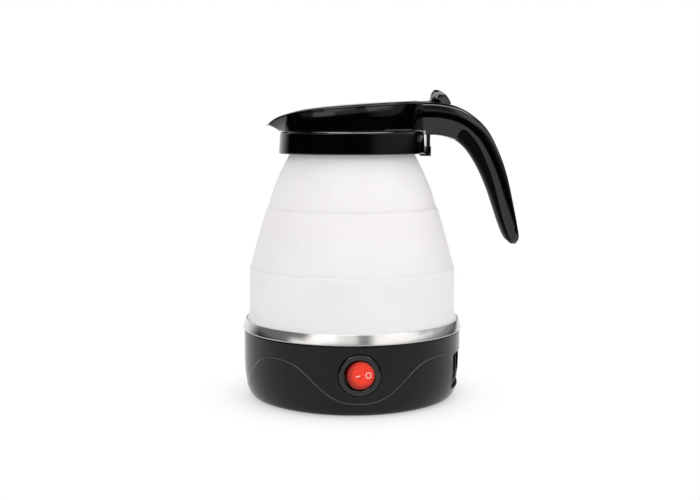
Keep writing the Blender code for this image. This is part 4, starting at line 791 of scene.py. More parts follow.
def base_housing():
    def level(radius, height):
        return lambda azimuth: at_azimuth(radius, azimuth, height)

    def outside(height_from, proud=0.0):
        """Ring on the outer face at a height that follows the wave."""
        def point(azimuth):
            height = height_from(wave_height(azimuth))
            return at_azimuth(base_outer(height) + proud, azimuth, height)
        return point

    def above(share):
        return outside(lambda wave: between(BASE_TOP - RIM_ROUND, wave + WAVE_BEVEL / 2, share))

    def on_step(share):
        return outside(lambda wave: wave + WAVE_BEVEL * (0.5 - share), WAVE_STEP * share)

    def below(share):
        return outside(lambda wave: between(wave - WAVE_BEVEL / 2, BASE_BOTTOM, share), WAVE_STEP)

    rim = arc((BASE_RADIUS - RIM_ROUND, BASE_TOP - RIM_ROUND), RIM_ROUND, pi / 2, 0, 4)
    rows = [level(BASE_RADIUS - BASE_WALL, BASE_TOP)] + [level(*spot) for spot in rim[:-1]]
    rows += [above(share) for share in (0, 0.03, 0.2, 0.4, 0.6, 0.8, 0.93, 0.985, 1)]
    rows += [on_step(share) for share in (0.06, 0.5, 0.94)]
    rows += [below(share) for share in (0, 0.015, 0.08, 0.2, 0.32, 0.44, 0.55, 0.65, 0.74, 0.82,
                                        0.89, 0.94, 0.975, 1)]
    foot = base_outer(BASE_BOTTOM) + WAVE_STEP - FOOT_EDGE
    rows += [level(*spot) for spot in (
        (foot, BASE_BOTTOM), (COVER_HOLE, BASE_BOTTOM), (COVER_HOLE, LEDGE_BOTTOM),
        (LEDGE_RADIUS, LEDGE_BOTTOM), (LEDGE_RADIUS, LEDGE_TOP))]
    for height in (LEDGE_TOP, *CORNER_LEVELS, BASE_BOTTOM + CORNER_HEIGHT):
        rows.append(level(base_outer(height) - BASE_WALL, height))
    azimuths = [tau * i / BASE_TURN for i in range(BASE_TURN)]
    obj = to_object("base_shell", wrapped(rows, azimuths, closed=True), BODY_SHARP)
    deep, seat, far = ((0, y, SWITCH_HEIGHT)
                       for y in (FAR - SWITCH_SEAT, -SWITCH_SEAT, -SWITCH_SEAT - FAR))
    window = rounded_block([length + 2 * GAP for length in INLET_PLATE], INLET_CORNER + GAP,
                           BASE_RADIUS - FAR, BASE_RADIUS + FAR)
    carve(obj, [softened(disc_rod(SEAT_RADIUS, seat, far, 96), 0.01 * MM, 1),
                disc_rod(BARREL_RADIUS + GAP, deep, far), window], sharp=BODY_SHARP)
    finished(obj, "base_black", "base", ["base_housing"])


def rounded_block(size, corner, start, end):
    """A block with round corners that stands out along the inlet's direction."""
    bm = box((*size, end - start), (0, 0, (start + end) / 2))
    upright = [edge for edge in bm.edges
               if abs((edge.verts[0].co - edge.verts[1].co).z) > (end - start) / 2]
    return facing(bevelled(bm, upright, corner, 8), INLET_HEIGHT, INLET_AZIMUTH)


def inlet_socket():
    plate = softened(rounded_block(INLET_PLATE, INLET_CORNER, INLET_STEP, INLET_FACE), 0.35 * MM)
    obj = to_object("inlet_block", plate)
    body = rounded_block(INLET_BODY, INLET_CORNER - 1 * MM, INLET_BACK, INLET_STEP + 0.5 * MM)
    carve(obj, [body], "UNION")
    cavity = rounded_block(INLET_CAVITY, INLET_CORNER, INLET_FLOOR, INLET_FACE + 5 * MM)
    size = (PIN_SIZE[0] + 2 * GAP, PIN_SIZE[1] + 2 * GAP, 10 * MM)
    slots = [facing(box(size, (x, z - INLET_HEIGHT, INLET_BACK)), INLET_HEIGHT, INLET_AZIMUTH)
             for x, z in INLET_PINS]
    carve(obj, [softened(cavity, 0.3 * MM, 2)] + slots)
    finished(obj, "satin_black", "base", ["inlet_socket"])


def steel_ring():
    lip, inside = RING_RADIUS - RING_LIP, RING_RADIUS - RING_SHEET
    top = (RING_RADIUS - RING_SLOPE - RING_EDGE, RING_TOP - RING_EDGE)
    roll = (RING_RADIUS - RING_ROLL, RING_BOTTOM + RING_ROLL)
    outline = [(lip, RING_BOTTOM)] + arc(roll, RING_ROLL, -pi / 2, RING_LEAN, 8)
    outline += arc(top, RING_EDGE, RING_LEAN, pi, 8)
    outline += [(inside - 0.3 * MM, RING_BOTTOM + 1.2 * MM),
                (inside - 0.6 * MM, RING_BOTTOM + RING_SHEET), (lip, RING_BOTTOM + RING_SHEET)]
    band = to_object("steel_band", spun(outline, 200))
    finished(band, "steel", "base", ["clamp_ring"])


def heating_pan():
    bend, under, below = PAN_BEND, PAN_RIM - PAN_SHEET, PAN_FLOOR - PAN_SHEET
    outline = [(0, PAN_FLOOR), (20 * MM, PAN_FLOOR), (PAN_FOOT - bend - 1 * MM, PAN_FLOOR)]
    outline += arc((PAN_FOOT - bend, PAN_FLOOR + bend), bend, -pi / 2, radians(-12), 6)
    outline += [(PAN_WALL + past, PAN_RIM - drop) for past, drop in PAN_RIM_BEND]
    outline += [(PAN_FLANGE, PAN_RIM), (PAN_FLANGE, under), (PAN_WALL + PAN_SHEET, under),
                (PAN_FOOT + PAN_SHEET, PAN_FLOOR + bend), (PAN_FOOT - bend / 2, below), (0, below)]
    obj = to_object("pan", spun(outline, 120, closed=False))
    carve(obj, [disc_rod(STUD_RADIUS, at_azimuth(SCREW_CIRCLE, azimuth, STUD_BOTTOM),
                         at_azimuth(SCREW_CIRCLE, azimuth, PAN_FLOOR - PAN_SHEET / 2), 24)
                for azimuth in SCREW_AZIMUTHS], "UNION")
    finished(obj, "steel", "base", ["heating_pan"])


def switch():
    well = (WELL_RADIUS + WELL_ROUND, BEZEL_FACE - WELL_ROUND)
    rim = (BEZEL_RADIUS - BEZEL_ROUND, BEZEL_FACE - BEZEL_ROUND)
    outline = [(0, WELL_FLOOR), (WELL_RADIUS, WELL_FLOOR), (WELL_RADIUS, BEZEL_FACE - BEZEL_ROUND)]
    outline += arc(well, WELL_ROUND, pi, pi / 2, 6)
    outline += arc(rim, BEZEL_ROUND, pi / 2, 0, 8)
    outline += [(BEZEL_RADIUS, BEZEL_BACK), (BARREL_RADIUS, BEZEL_BACK),
                (BARREL_RADIUS, BARREL_BACK), (0, BARREL_BACK)]
    obj = to_object("switch_bezel", facing(spun(outline, 96, closed=False), SWITCH_HEIGHT))
    finished(obj, "gloss_black", "base", ["switch_body"])


def valley_rise(away):
    """How far the rocker's front stands out at a distance from its bent middle line."""
    return tan(ROCKER_TILT) * (sqrt(away ** 2 + VALLEY_ROUND ** 2) - VALLEY_ROUND)


def rocker():
    """Round rocker whose front is bent inwards like a shallow V, with soft edges and two marks."""
    middle = ROCKER_VALLEY - ROCKER_THICKNESS / 2
    bm = bmesh.new()
    bmesh.ops.create_cone(bm, cap_ends=True, segments=96, radius1=ROCKER_RADIUS,
                          radius2=ROCKER_RADIUS, depth=ROCKER_THICKNESS,
                          matrix=Matrix.Translation((0, 0, middle)))
    for x in ROCKER_CUTS:
        bmesh.ops.bisect_plane(bm, geom=bm.verts[:] + bm.edges[:] + bm.faces[:],
                               plane_co=(x * MM, 0, 0), plane_no=(1, 0, 0))
    for vert in bm.verts:
        if vert.co.z > middle:
            vert.co.z += valley_rise(vert.co.x)
    rim = [edge for edge in bm.edges if edge.is_manifold
           and edge.calc_face_angle(0) > radians(60) and edge.verts[0].co.z > 0]
    bevelled(bm, rim, ROCKER_EDGE, 4)
    place = (Matrix.Translation((0, -ROCKER_PIVOT, SWITCH_HEIGHT))
             @ Matrix.Rotation(ROCKER_TILT, 4, "Z") @ Matrix.Rotation(pi / 2, 4, "X"))
    lens = to_object("rocker_lens", moved(bm, place))
    finished(lens, "red_lens", "rocker", ["switch_rocker"])

    def mark(name, shape, x, y, turn):
        tilt = Matrix.Rotation(-copysign(ROCKER_TILT, x), 4, "Y")
        tilt = tilt @ Matrix.Rotation(turn, 4, "Z")
        spot = Matrix.Translation((x, y, ROCKER_VALLEY + valley_rise(x)))
        piece = to_object(name, moved(shape, place @ spot @ tilt))
        finished(piece, "mark_white", "rocker", [])

    mark("mark_on", box(MARK_BAR), *MARK_BAR_PLACE)
    ring = spun(arc((1, 0), MARK_RING_STROKE, 0, tau, 12)[:-1], 64)
    for vert in ring.verts:
        turn = atan2(vert.co.y, vert.co.x)
        sides = abs(cos(turn)) ** MARK_SQUARE + abs(sin(turn)) ** MARK_SQUARE
        square = sides ** (-1 / MARK_SQUARE)
        vert.co.x *= square
        vert.co.y *= square
    mark("mark_off", moved(ring, Matrix.Diagonal((*MARK_RING, 1))), *MARK_RING_PLACE)


# --- Silicone body ------------------------------------------------------------------------------

def silicone_body():
    """Fine section of the three zones with their two soft folds."""
    half = FOLD_BAND / 2

    def zone(start, end, bulge, steps):
        """(radius, height, wall) of points on the outer face from one point to another."""
        shares = [i / steps for i in range(steps + 1)]
        return [(between(start[0], end[0], share) + bulge * sin(pi * share),
                 between(start[1], end[1], share), SILICONE_WALL) for share in shares]

    def fold(radius, step, height):
        """A soft step inwards whose wall is thinner, as a hinge."""
        thinner = SILICONE_WALL - SILICONE_HINGE
        return [(radius - step * eased(i, 0, 6), height - half + FOLD_BAND * i / 6,
                 SILICONE_WALL - thinner * sin(pi * i / 6)) for i in range(1, 6)]

    lower_end = (LOWER_RADIUS, FOLD_LOW - half)
    middle_start = (LOWER_RADIUS - FOLD_STEP, FOLD_LOW + half)
    middle_end = (MIDDLE_TOP_RADIUS, FOLD_HIGH - half)
    upper_start = (MIDDLE_TOP_RADIUS - UPPER_FOLD_STEP, FOLD_HIGH + half)
    outer = zone((FLARE_RADIUS, RING_TOP), (LOWER_RADIUS, FLARE_TOP), -FLARE_DIP, 8)
    outer += zone((LOWER_RADIUS, FLARE_TOP), lower_end, 0, 10)[1:]
    outer += fold(LOWER_RADIUS, FOLD_STEP, FOLD_LOW)
    outer += zone(middle_start, middle_end, MIDDLE_BULGE, 16)
    outer += fold(MIDDLE_TOP_RADIUS, UPPER_FOLD_STEP, FOLD_HIGH)
    outer += zone(upper_start, (UPPER_TOP_RADIUS, COLLAR_BOTTOM), UPPER_BULGE, 16)
    outline = [(BEAD_INNER, BEAD_BOTTOM), (BEAD_RADIUS, BEAD_BOTTOM),
               (BEAD_TOP_RADIUS, RING_TOP - GAP)]
    outline += [(radius, height) for radius, height, wall in outer]
    outline += [(UPPER_TOP_RADIUS, SILICONE_FLANGE_BOTTOM),
                (SILICONE_FLANGE_RADIUS, SILICONE_FLANGE_BOTTOM),
                (SILICONE_FLANGE_RADIUS, SILICONE_TOP), (NECK_RADIUS, SILICONE_TOP)]
    outline += [(radius - wall, height) for radius, height, wall in reversed(outer)]
    obj = to_object("silicone_skin", spun(outline), BODY_SHARP)
    finished(obj, "white_silicone", None, ["silicone_body"])
    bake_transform(obj)


# --- Collar, spout housing and lid --------------------------------------------------------------

def collar():
    edge, web = COLLAR_EDGE, COLLAR_BOTTOM + COLLAR_WEB
    seam = COLLAR_TOP - SEAM_DROP
    wall_low, wall_high = COLLAR_BOTTOM + edge, seam - COLLAR_ROUND
    outline = [(COLLAR_HOLE, COLLAR_BOTTOM + 0.3 * MM), (COLLAR_HOLE + 0.3 * MM, COLLAR_BOTTOM)]
    outline += arc((COLLAR_RADIUS - edge, COLLAR_BOTTOM + edge), edge, -pi / 2, 0, 6)
    outline += [(COLLAR_RADIUS - COLLAR_DRAFT * share, between(wall_low, wall_high, share))
                for share in (0.03, 0.08, 0.35, 0.65, 0.92, 0.97)]
    outline += [(COLLAR_RADIUS - COLLAR_DRAFT - COLLAR_ROUND * inset,
                 seam - COLLAR_ROUND * (1 - height)) for height, inset in COLLAR_SHOULDER]
    outline += [(COLLAR_INNER, seam), (COLLAR_INNER, web), (COLLAR_HOLE, web)]
    band = to_object("collar_band", spun(outline))
    finished(band, "gloss_black", "top", ["collar"])


def from_spout(angle):
    return abs(remainder(angle, tau))


def plan_radius(angle, radius, reach):
    """Radius of the housing's plan at an angle from the spout's tip: a circle and two straight
    sides that meet in a blunt tip."""
    angle = from_spout(angle)
    touch = SPOUT_TIP_ANGLE + acos(radius / reach)
    if angle >= touch:
        return radius
    return radius / cos(touch - max(angle, SPOUT_TIP_ANGLE))


def plan_angles():
    """Angles from the spout's tip, closer together along the beak."""
    touch = SPOUT_TIP_ANGLE + acos(HOUSING_RADIUS / LID_REACH)
    steps = 20
    beak = [touch * (i / steps) for i in range(steps + 1)]
    rest = HEAD_TURN - 2 * steps - 1
    body = [touch + (tau - 2 * touch) * i / (rest + 1) for i in range(1, rest + 1)]
    return beak + body + [tau - angle for angle in reversed(beak[1:])]


def from_tip(radius, angle, height):
    return Vector((-radius * cos(angle), -radius * sin(angle), height))


def height_on(table, x):
    """Height at x on a smooth curve through a table of (x, height) points."""
    slopes = []
    for i in range(len(table)):
        low, high = table[max(i - 1, 0)], table[min(i + 1, len(table) - 1)]
        slopes.append((high[1] - low[1]) / (high[0] - low[0]))
    x = min(max(x, table[0][0]), table[-1][0])
    i = max(k for k in range(len(table) - 1) if table[k][0] <= x)
    (x0, y0), (x1, y1) = table[i], table[i + 1]
    run = x1 - x0
    f = (x - x0) / run
    return (y0 * (1 + 2 * f) * (1 - f) ** 2 + slopes[i] * run * f * (1 - f) ** 2
            + y1 * f ** 2 * (3 - 2 * f) - slopes[i + 1] * run * f ** 2 * (1 - f))


def lid_height(x, y):
    along = (x + LID_REACH) / LID_RUN
    return (LID_TOP - LID_RISE + LID_RISE * height_on(LID_CONTOUR_SHARES, along)
            - LID_CROWN * (y / HOUSING_RADIUS) ** 2)


def at_tip(angle):
    """1 along the beak, 0 round the rest of the head."""
    return 1 - eased(from_spout(angle), *LID_TIP_ANGLES)


def rim_lean(angle):
    """How far the head's rim leans inwards: not along the beak, nor at the handle."""
    return HOUSING_LEAN * (1 - at_tip(angle)) * (1 - eased(from_spout(angle), *LEAN_END_ANGLES))


def spout_housing():
    def wall(radius, reach, share, lean, bottom, drop):
        """Ring on a wall that leans outwards along the beak, at a share of its height; lean is a
        share of the rim's own lean."""
        def point(angle):
            drawn = lean * rim_lean(angle)
            foot = plan_radius(angle, radius - drawn, reach - BEAK_FLARE - drawn)
            low = from_tip(foot, angle, bottom)
            high = from_tip(plan_radius(angle, radius - drawn, reach - drawn), angle, 0)
            high.z = lid_height(high.x, high.y) - drop(angle)
            spot = low.lerp(high, share ** BEAK_CURVE)
            spot.z = between(low.z, high.z, share)
            return spot
        return point

    def outer(share, lean):
        return wall(HOUSING_RADIUS, SPOUT_REACH, share, lean, HOUSING_BOTTOM - SEAM_DROP,
                    lambda angle: between(RIM_DROP, RIM_DROP_AT_TIP, at_tip(angle)))

    def inner(share):
        return wall(HOUSING_RADIUS - HOUSING_WALL, SPOUT_INNER, share, 0, DECK_TOP,
                    lambda angle: RIM_DROP)

    def flat(radius, height):
        return lambda angle: from_tip(radius, angle, height)

    rows = [flat(HOUSING_RADIUS - HOUSING_EDGE, HOUSING_BOTTOM - SEAM_DROP), outer(0.03, 0)]
    for share in (0.08, 0.2, 0.32, 0.44, 0.52, 0.6, 0.68, 0.76, 0.82, 0.88, 0.94, 1):
        rows.append(outer(share, (max(share - LEAN_START, 0) / (1 - LEAN_START)) ** 2))
    rows += [inner(1), inner(0.6), inner(0)] + [flat(*spot) for spot in (
        (NECK_BORE + 0.5 * MM, DECK_TOP), (NECK_BORE, DECK_TOP - 0.5 * MM),
        (NECK_BORE, HOUSING_BOTTOM), (SKIRT_INNER, HOUSING_BOTTOM), (SKIRT_INNER, SKIRT_BOTTOM),
        (SKIRT_RADIUS, SKIRT_BOTTOM), (SKIRT_RADIUS, HOUSING_BOTTOM))]
    obj = to_object("spout_shell", wrapped(rows, plan_angles(), closed=True), HEAD_SHARP)
    finished(obj, "gloss_black", "top", ["spout_housing"])


def lid():
    def reach_at(angle, inset):
        lean = rim_lean(angle) * LID_LEAN
        place = plan_radius(angle, HOUSING_RADIUS - lean - inset, LID_REACH - lean - 1.6 * inset)
        backward = -cos(angle)
        return min(place, (LID_REAR - inset) / backward) if backward > 0.5 else place

    def plate(inset, drop, share=1.0, edge=0.0):
        """Ring on the lid; edge is a share of its rim's thickness, which is thin at the tip."""
        def point(angle):
            spot = from_tip(reach_at(angle, inset) * share, angle, 0)
            rim = between(LID_THICKNESS, LID_TIP_EDGE, at_tip(angle))
            spot.z = lid_height(spot.x, spot.y) - drop - edge * rim
            return spot
        return point

    def skirt(radius, depth):
        """Ring on the plug under the lid, which is open towards the spout."""
        def point(angle):
            share = eased(from_spout(angle), LID_POUR_ANGLE, LID_POUR_ANGLE * 1.15)
            spot = from_tip(radius, angle, 0)
            drop = LID_THICKNESS + (GAP + LID_SKIRT_DEPTH * share) * depth
            spot.z = lid_height(spot.x, spot.y) - drop
            return spot
        return point

    rim = plate(LID_RIM_INSET, 0, edge=1)
    rows = [rim]
    for i in range(1, 9):
        turn = pi / 2 * i / 8
        inset = LID_SHOULDER * (1 - cos(turn))
        rows.append(plate(inset, 0, edge=0.8 * (1 - sin(turn))))
    rows += [plate(LID_SHOULDER, 0, share)
             for share in (0.96, 0.88, 0.76, 0.62, 0.48, 0.34, 0.2, 0.08, 0.001)]
    top = wrapped(rows, plan_angles())
    inner = LID_SKIRT_RADIUS - LID_SKIRT_WALL
    rows = [rim, plate(LID_UNDER_INSET, LID_THICKNESS), skirt(LID_SKIRT_RADIUS, 0),
            skirt(LID_SKIRT_RADIUS, 1), skirt(inner, 1), skirt(inner, 0)]
    rows += [plate(LID_SHOULDER, LID_THICKNESS, share) for share in (0.6, 0.3, 0.001)]
    under = wrapped(rows, plan_angles())
    holder = bpy.data.meshes.new("lid_under")
    under.to_mesh(holder)
    under.free()
    top.from_mesh(holder)
    bpy.data.meshes.remove(holder)
    obj = to_object("lid_plate", tidied(top), HEAD_SHARP)
    finished(obj, "gloss_black", "lid", ["lid"])
    arm = crowned(drawn_out(lever_outline(), LEVER_HALF, 15))
    lever = to_object("lid_lever", softened(arm, LEVER_EDGE, least=BODY_SHARP), HEAD_SHARP)
    carve(lever, [across_hinge(HINGE_PIN + GAP, 2 * FAR)], sharp=HEAD_SHARP)
    finished(lever, "gloss_black", "lid", ["lid"])
    rod = softened(across_hinge(HINGE_PIN, SLOT_HALF + HINGE_SEAT), 0.2 * MM, 2)
    finished(to_object("hinge_rod", rod), "screw_steel", "top", ["hinge_pin"])


def across_hinge(radius, half):
    return disc_rod(radius, HINGE - Vector((0, half, 0)), HINGE + Vector((0, half, 0)), 32)


def crowned(bm):
    """Slopes the thumb lever's top down to its two sides."""
    for vert in bm.verts:
        past = held((abs(vert.co.y) - LEVER_FLAT) / (LEVER_HALF - LEVER_FLAT))
        reach = Vector((vert.co.x - HINGE.x, vert.co.z - HINGE.z))
        if vert.co.z < HINGE.z + LEVER_FALL / 2 or past == 0 or reach.length < LEVER_ROOT:
            continue
        drawn = (reach.length - LEVER_ROOT) * (1 - LEVER_CROWN * past ** 1.2)
        share = (LEVER_ROOT + drawn) / reach.length
        vert.co.x, vert.co.z = HINGE.x + reach.x * share, HINGE.z + reach.y * share
    return bm


def lever_outline():
    """(x, z) outline of the lid's rear arm: neck, knuckle round the pin and thumb lever."""
    def smooth(points, per_span):
        spots = smooth_points([Vector(point) for point in points], per_span)
        return [tuple(spot) for spot in spots]

    start = LID_REAR - KNUCKLE_RADIUS
    start_height, top = lid_height(start, 0), lid_height(LID_REAR, 0)
    crest = (HINGE.x + LEVER_CREST, HINGE.z + LEVER_RISE)
    neck = [(start, start_height - LEVER_SHEET / 8), (HINGE.x - 3 * MM, top - 0.05 * MM),
            (HINGE.x - 1.3 * MM, top + 0.1 * MM)]
    front = [(HINGE.x - LEVER_SHEET / 4, top + 0.6 * MM), (HINGE.x - 0.1 * MM, top + 3 * MM),
             (HINGE.x + LEVER_SHEET / 8, crest[1] - LEVER_SHEET), crest]
    tab = [(HINGE.x + LEVER_REACH * x, HINGE.z + between(LEVER_FALL, LEVER_RISE, z))
           for x, z in LEVER_SHARES]
    heel = (HINGE.x + KNUCKLE_RADIUS, HINGE.z + KNUCKLE_RADIUS)
    outline = neck + smooth(front, 4)[:-1] + smooth([crest] + tab[:4], 5)
    outline += smooth(tab[4:] + [heel], 5)
    outline += arc((HINGE.x, HINGE.z), KNUCKLE_RADIUS, 0, -pi, 16)
    return outline + [(HINGE.x - KNUCKLE_RADIUS, top - LID_THICKNESS),
                      (start, start_height - LID_THICKNESS)]


# --- Handle and latch ---------------------------------------------------------------------------

def handle_line(shares):
    return [Vector((HANDLE_START + HANDLE_REACH * x, 0, HANDLE_TOP - HANDLE_DROP * z))
            for x, z in shares]


HANDLE_OUTER = handle_line(HANDLE_OUTER_SHARES)
HANDLE_INNER = handle_line(HANDLE_INNER_SHARES)
HANDLE_HALVES = [Vector((ROOT_HALF * share, 0)) for share in HANDLE_WIDTH_SHARES]


def grip_depth(place):
    """Share of the handle's depth that the grip takes up: nothing before its round nose, and less
    towards the tip."""
    past = held((place - GRIP_START_SHARE) / GRIP_NOSE_SHARE)
    start = GRIP_START_SHARE + GRIP_NOSE_SHARE
    along = held((place - start) / (GRIP_TAPER_END - start))
    return between(GRIP_SHARE, GRIP_SHARE_AT_TIP, along) * sqrt(1 - (1 - past) ** 2)


def handle_sweep(places, section):
    """A skin along the handle; section gives (depth share, half-width share) pairs at a place."""
    def row(place):
        low, high = curve_at(HANDLE_INNER, place), curve_at(HANDLE_OUTER, place)
        half = curve_at(HANDLE_HALVES, place).x
        points = [low.lerp(high, u) + Vector((0, v * half, 0)) for u, v in section(place)]
        return lambda i: points[i]

    return wrapped([row(place) for place in places], range(len(section(places[0]))), caps=True)


def handle_stations(start=0.0):
    """Shares of the handle's length, closer together at the grip's nose and at the tip."""
    nose = [GRIP_START_SHARE + GRIP_NOSE_SHARE * (i / 14) ** 2 for i in range(15)]
    body = [1 - (1 - i / HANDLE_RINGS) ** 1.15 for i in range(HANDLE_RINGS + 1)]
    inside = [place for place in body if not nose[0] <= place <= nose[-1]] + nose
    return [start] + sorted(place for place in inside if start < place < 1) + [1.0]


def side_points(low, high, count):
    """Points on the handle's side between two depth shares, or up to its end where the second is
    None; the side leans outwards, then rounds over."""
    side = smooth_points([Vector(point) for point in HANDLE_SIDE], 6)

    def spot(share):
        after = next((i for i in range(1, len(side)) if side[i].x >= share), len(side) - 1)
        return after - 1 + (share - side[after - 1].x) / (side[after].x - side[after - 1].x)

    start, end = spot(low), (len(side) - 1 if high is None else spot(high))
    places = [start + (end - start) * i / (count - 1) for i in range(count)]
    return [curve_at(side, place / (len(side) - 1)) for place in places]


def shell_section(place):
    low = grip_depth(place)
    side = side_points(low + SHELL_START, None, 22)
    half = [(low + past, side[0].y - inset) for past, inset in SHELL_LIP]
    half += [(min(spot.x, 1.0), max(spot.y, 0.0)) for spot in side]
    left = [(u, -v) for u, v in half[:-1]]
    return left + [half[-1]] + [(u, v) for u, v in reversed(half[:-1])]


def grip_section(place):
    depth = (curve_at(HANDLE_OUTER, place) - curve_at(HANDLE_INNER, place)).length
    high = max(grip_depth(place) - GRIP_CLEARANCE / depth, 0.02)
    rib = high + GRIP_RIB / depth
    side = side_points(0.0, high, 8)
    half = [(rib, 0.0), (rib, GRIP_RIB_HALF), (high, GRIP_BACK_HALF),
            (high, side[-1].y - GRIP_BACK_INSET)]
    for i in range(7, 0, -1):
        inset = GRIP_INSET + GRIP_FRONT_ROUND * (1 - i / 7) ** 3
        half.append((side[i].x * 0.98, side[i].y - inset))
    half.append((0.0, GRIP_FRONT_HALF))
    left = [(u, -v) for u, v in reversed(half[1:])]
    return half + [(0.0, 0.0)] + left


def handle():
    cover = handle_sweep(handle_stations(), shell_section)
    shell = to_object("handle_cover", cover, HANDLE_SHARP)
    bottom, top = HANDLE_TOP - HANDLE_DROP, HANDLE_TOP + FAR
    shelf = lid_height(HANDLE_START, 0) - LID_THICKNESS
    collar_face, housing_face = COLLAR_RADIUS + GAP, HOUSING_RADIUS + 0.02 * MM
    body = spun([(0, bottom), (collar_face, bottom), (collar_face, COLLAR_TOP),
                 (housing_face, COLLAR_TOP), (housing_face, shelf), (0, shelf)], closed=False)
    slot = drawn_out([(0, top), (0, SLOT_SHALLOW), (SLOT_STEP, SLOT_SHALLOW),
                      (SLOT_STEP, SLOT_FLOOR), (SLOT_END, SLOT_FLOOR), (SLOT_END, top)], SLOT_HALF)
    recess = drawn_out([(HANDLE_START, bottom), (RECESS_END, bottom), (RECESS_END, RECESS_TOP),
                        (HANDLE_START, RECESS_TOP)], LATCH_HALF + GAP)
    for tool in (body, slot, recess):
        carve(shell, [tool], sharp=HANDLE_SHARP)
    finished(shell, "gloss_black", "top", ["handle_shell"])
    pad = handle_sweep(handle_stations(GRIP_START_SHARE + 0.0012), grip_section)
    grip = to_object("handle_pad", pad, HANDLE_SHARP)
    finished(grip, "grip_black", "top", ["handle_grip"])


def latch():
    toe_top = COLLAR_BOTTOM - GAP
    toe_bottom, block_top = toe_top - LATCH_TOE, toe_top + LATCH_BLOCK_HEIGHT
    left, right = LATCH_BLOCK_LEFT, LATCH_BLOCK_LEFT + LATCH_BLOCK_WIDTH
    hook = COLLAR_RADIUS - LATCH_HOOK
    tab_left = LATCH.x - LATCH_TAB / 2
    reach = asin(LATCH_TAB / 2 / LATCH_BARREL)
    outline = arc((LATCH.x, LATCH.z), LATCH_BARREL, -pi / 2 + reach, pi * 1.5 - reach, 24)
    outline += [(tab_left, block_top), (left, block_top), (left, toe_top), (hook, toe_top),
                (hook, toe_top - LATCH_TOE / 2), (hook + LATCH_TOE / 2, toe_bottom),
                (right, toe_bottom), (right, block_top), (tab_left + LATCH_TAB, block_top)]
    bm = softened(drawn_out(outline, LATCH_HALF), LATCH_EDGE, 2, LATCH_SHARP)
    clip = to_object("latch_lever", bm, LATCH_SHARP)
    finished(clip, "gloss_black", "latch", ["latch_clip"])


# --- Pieces of the frame that stay --------------------------------------------------------------

STAYING = {
    "satin_black": ["base_cover", "neck_ring"],
    "rubber_black": ["foot_1", "foot_2", "foot_3", "foot_4", "neck_gasket"],
    "screw_steel": ["long_screw_1", "long_screw_2", "long_screw_3", "handle_screw_1",
                    "handle_screw_2", "heating_element", "element_pin_1", "element_pin_2"],
    "aluminium": ["heat_spreader"],
    "ceramic": ["thermostat"],
    "brass": ["thermostat_tab_1", "thermostat_tab_2", "switch_tab_1", "switch_tab_2",
              "switch_tab_3", "inlet_pin_live", "inlet_pin_neutral", "inlet_pin_earth"],
    "lamp_glass": ["switch_lamp"],
    "wire_brown": ["lead_live", "lead_switched"],
    "wire_blue": ["lead_lamp", "lead_neutral"],
    "wire_green": ["lead_earth"],
    "wire_white": ["lead_fuse_in", "lead_fuse_out", "thermal_fuse"],
}


def dress_staying_nodes():
    for finish, names in STAYING.items():
        for name in names:
            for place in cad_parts[name].material_slots:
                place.material = FINISHES[finish]


# --- Room, light and camera ---------------------------------------------------------------------

def mixed_shader(tree, factor, first, second):
    return node(tree, "MixShader", {"Fac": factor, 1: first, 2: second}).outputs["Shader"]


def room():
    bm = bmesh.new()
    bmesh.ops.create_grid(bm, x_segments=1, y_segments=1, size=FLOOR_SIZE)
    floor = to_object("floor", bm)
    floor.data.materials.append(pale_floor())

    world = bpy.data.worlds.new("studio")
    bpy.context.scene.world = world
    world.use_nodes = True
    tree = world.node_tree
    tree.nodes.clear()
    white, soft, mirror = (
        node(tree, "Background", {"Color": colour, "Strength": strength}).outputs["Background"]
        for colour, strength in (((1, 1, 1, 1), 1), (SOFT_COLOUR, SOFT_STRENGTH),
                                 (reflected_room(tree), 1)))
    path = node(tree, "LightPath").outputs
    light = mixed_shader(tree, path["Is Glossy Ray"], soft, mirror)
    seen = mixed_shader(tree, path["Is Camera Ray"], light, white)
    node(tree, "OutputWorld", {"Surface": seen})
    for row in LAMPS:
        lamp(*row)


def pale_floor():
    """Pale floor that runs out into the white background and keeps the shadow near the kettle.
    Gloss sees it dark further out."""
    material, tree, shader = start_material("pale_floor", (0.94, 0.94, 0.94), 0.6)
    shader.inputs["Specular IOR Level"].default_value = 0.15
    x, y = coordinates(tree, "Object")[:2]
    near = (x * x + y * y).work("SQRT")
    glossy = Sum(tree, node(tree, "LightPath").outputs["Is Glossy Ray"])
    hidden = near.step(*FLOOR_DARK) * (y / near).step(*FLOOR_BACK) * glossy
    white = node(tree, "Emission").outputs["Emission"]
    dark = node(tree, "Emission", {"Strength": 0.0}).outputs["Emission"]
    far = mixed_shader(tree, near.step(*FLOOR_WHITE).socket, shader.outputs["BSDF"], white)
    seen = mixed_shader(tree, hidden.socket, far, dark)
    tree.links.new(seen, tree.nodes["Material Output"].inputs["Surface"])
    return material


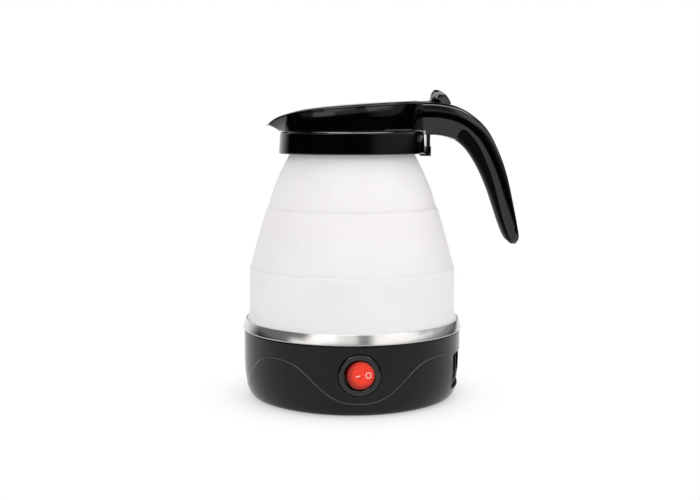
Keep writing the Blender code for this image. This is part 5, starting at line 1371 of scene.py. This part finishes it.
def reflected_room(tree):
    """What gloss shows of the room: a pale wall behind the kettle, dark ends, a row of soft boxes
    in front, dim walls to the right, a low streak and small bright lamps above. x, y and z are the
    parts of the direction that gloss looks in, and each step lights up from its first number to
    its second."""
    x, y, z = coordinates(tree, "Generated")
    slanted = y + x * -0.2
    behind = (y + z * 0.5 - x.step(0.0, 0.4) * 0.5).step(0.5, 0.9)
    boxes = brightest(x.step(-0.22, -0.34) * slanted.step(-0.34, -0.48) * LEFT_BOX,
                      y.step(-0.6, -0.75) * x.step(0.1, 0.0) * MIDDLE_BOX)
    row = z.step(0.27, 0.33) * z.step(0.64, 0.55)
    right = brightest(x.step(0.2, 0.35) * y.step(-0.1, -0.35) * z.step(0.2, 0.3) * RIGHT_BOX,
                      x.step(0.3, 0.6) * z.step(0.13, 0.22) * RIGHT_WALL,
                      x.step(0.3, 0.75) * z.step(0.05, 0.08) * RIGHT_FOOT)
    streak_ends = brightest(x.step(-0.4, -0.6), x.step(0.2, 0.4), STREAK_MIDDLE)
    streak = ((z + x * -0.04).step(0.17, 0.23) * z.step(0.34, 0.28) * slanted.step(0.0, -0.25)
              * x.step(-0.99, -0.9) * streak_ends * STREAK)
    lamps = brightest(x.step(-0.6, -0.5) * x.step(0.05, -0.1) * LEFT_LAMP,
                      x.step(-0.1, 0.05) * RIGHT_LAMP, DIM_LAMP)
    above = z.step(0.66, 0.7) * z.step(0.88, 0.84) * y.step(0.05, -0.1) * lamps
    ends = (z + abs(x) * 0.15).step(0.26, 0.34) * END_WALLS
    low = brightest(right, ends) * z.step(0.64, 0.55)
    return brightest(behind, boxes * row, streak, above, low).socket


def lamp(name, place, size, power):
    light = bpy.data.lights.new(name, "AREA")
    light.shape = "DISK"
    light.size = size
    light.energy = power
    obj = bpy.data.objects.new(name, light)
    obj.location = place
    aim = LAMP_AIM - obj.location
    obj.rotation_euler = aim.to_track_quat("-Z", "Y").to_euler()
    obj.visible_glossy = False
    bpy.context.scene.collection.objects.link(obj)


def camera():
    data = bpy.data.cameras.new("camera")
    data.lens = CAMERA_LENS
    data.sensor_width = SENSOR_WIDTH
    data.shift_x = CAMERA_SHIFT
    data.clip_start = CLIP_START
    obj = bpy.data.objects.new("camera", data)
    obj.location = at_azimuth(CAMERA_DISTANCE, CAMERA_AZIMUTH, CAMERA_HEIGHT)
    obj.rotation_euler = (pi / 2 - CAMERA_PITCH, 0, CAMERA_AZIMUTH)
    bpy.context.scene.collection.objects.link(obj)
    bpy.context.scene.camera = obj
    bpy.context.scene.view_settings.view_transform = "Standard"


base_housing()
inlet_socket()
steel_ring()
heating_pan()
switch()
rocker()
silicone_body()
collar()
spout_housing()
lid()
handle()
latch()
dress_staying_nodes()
room()
camera()
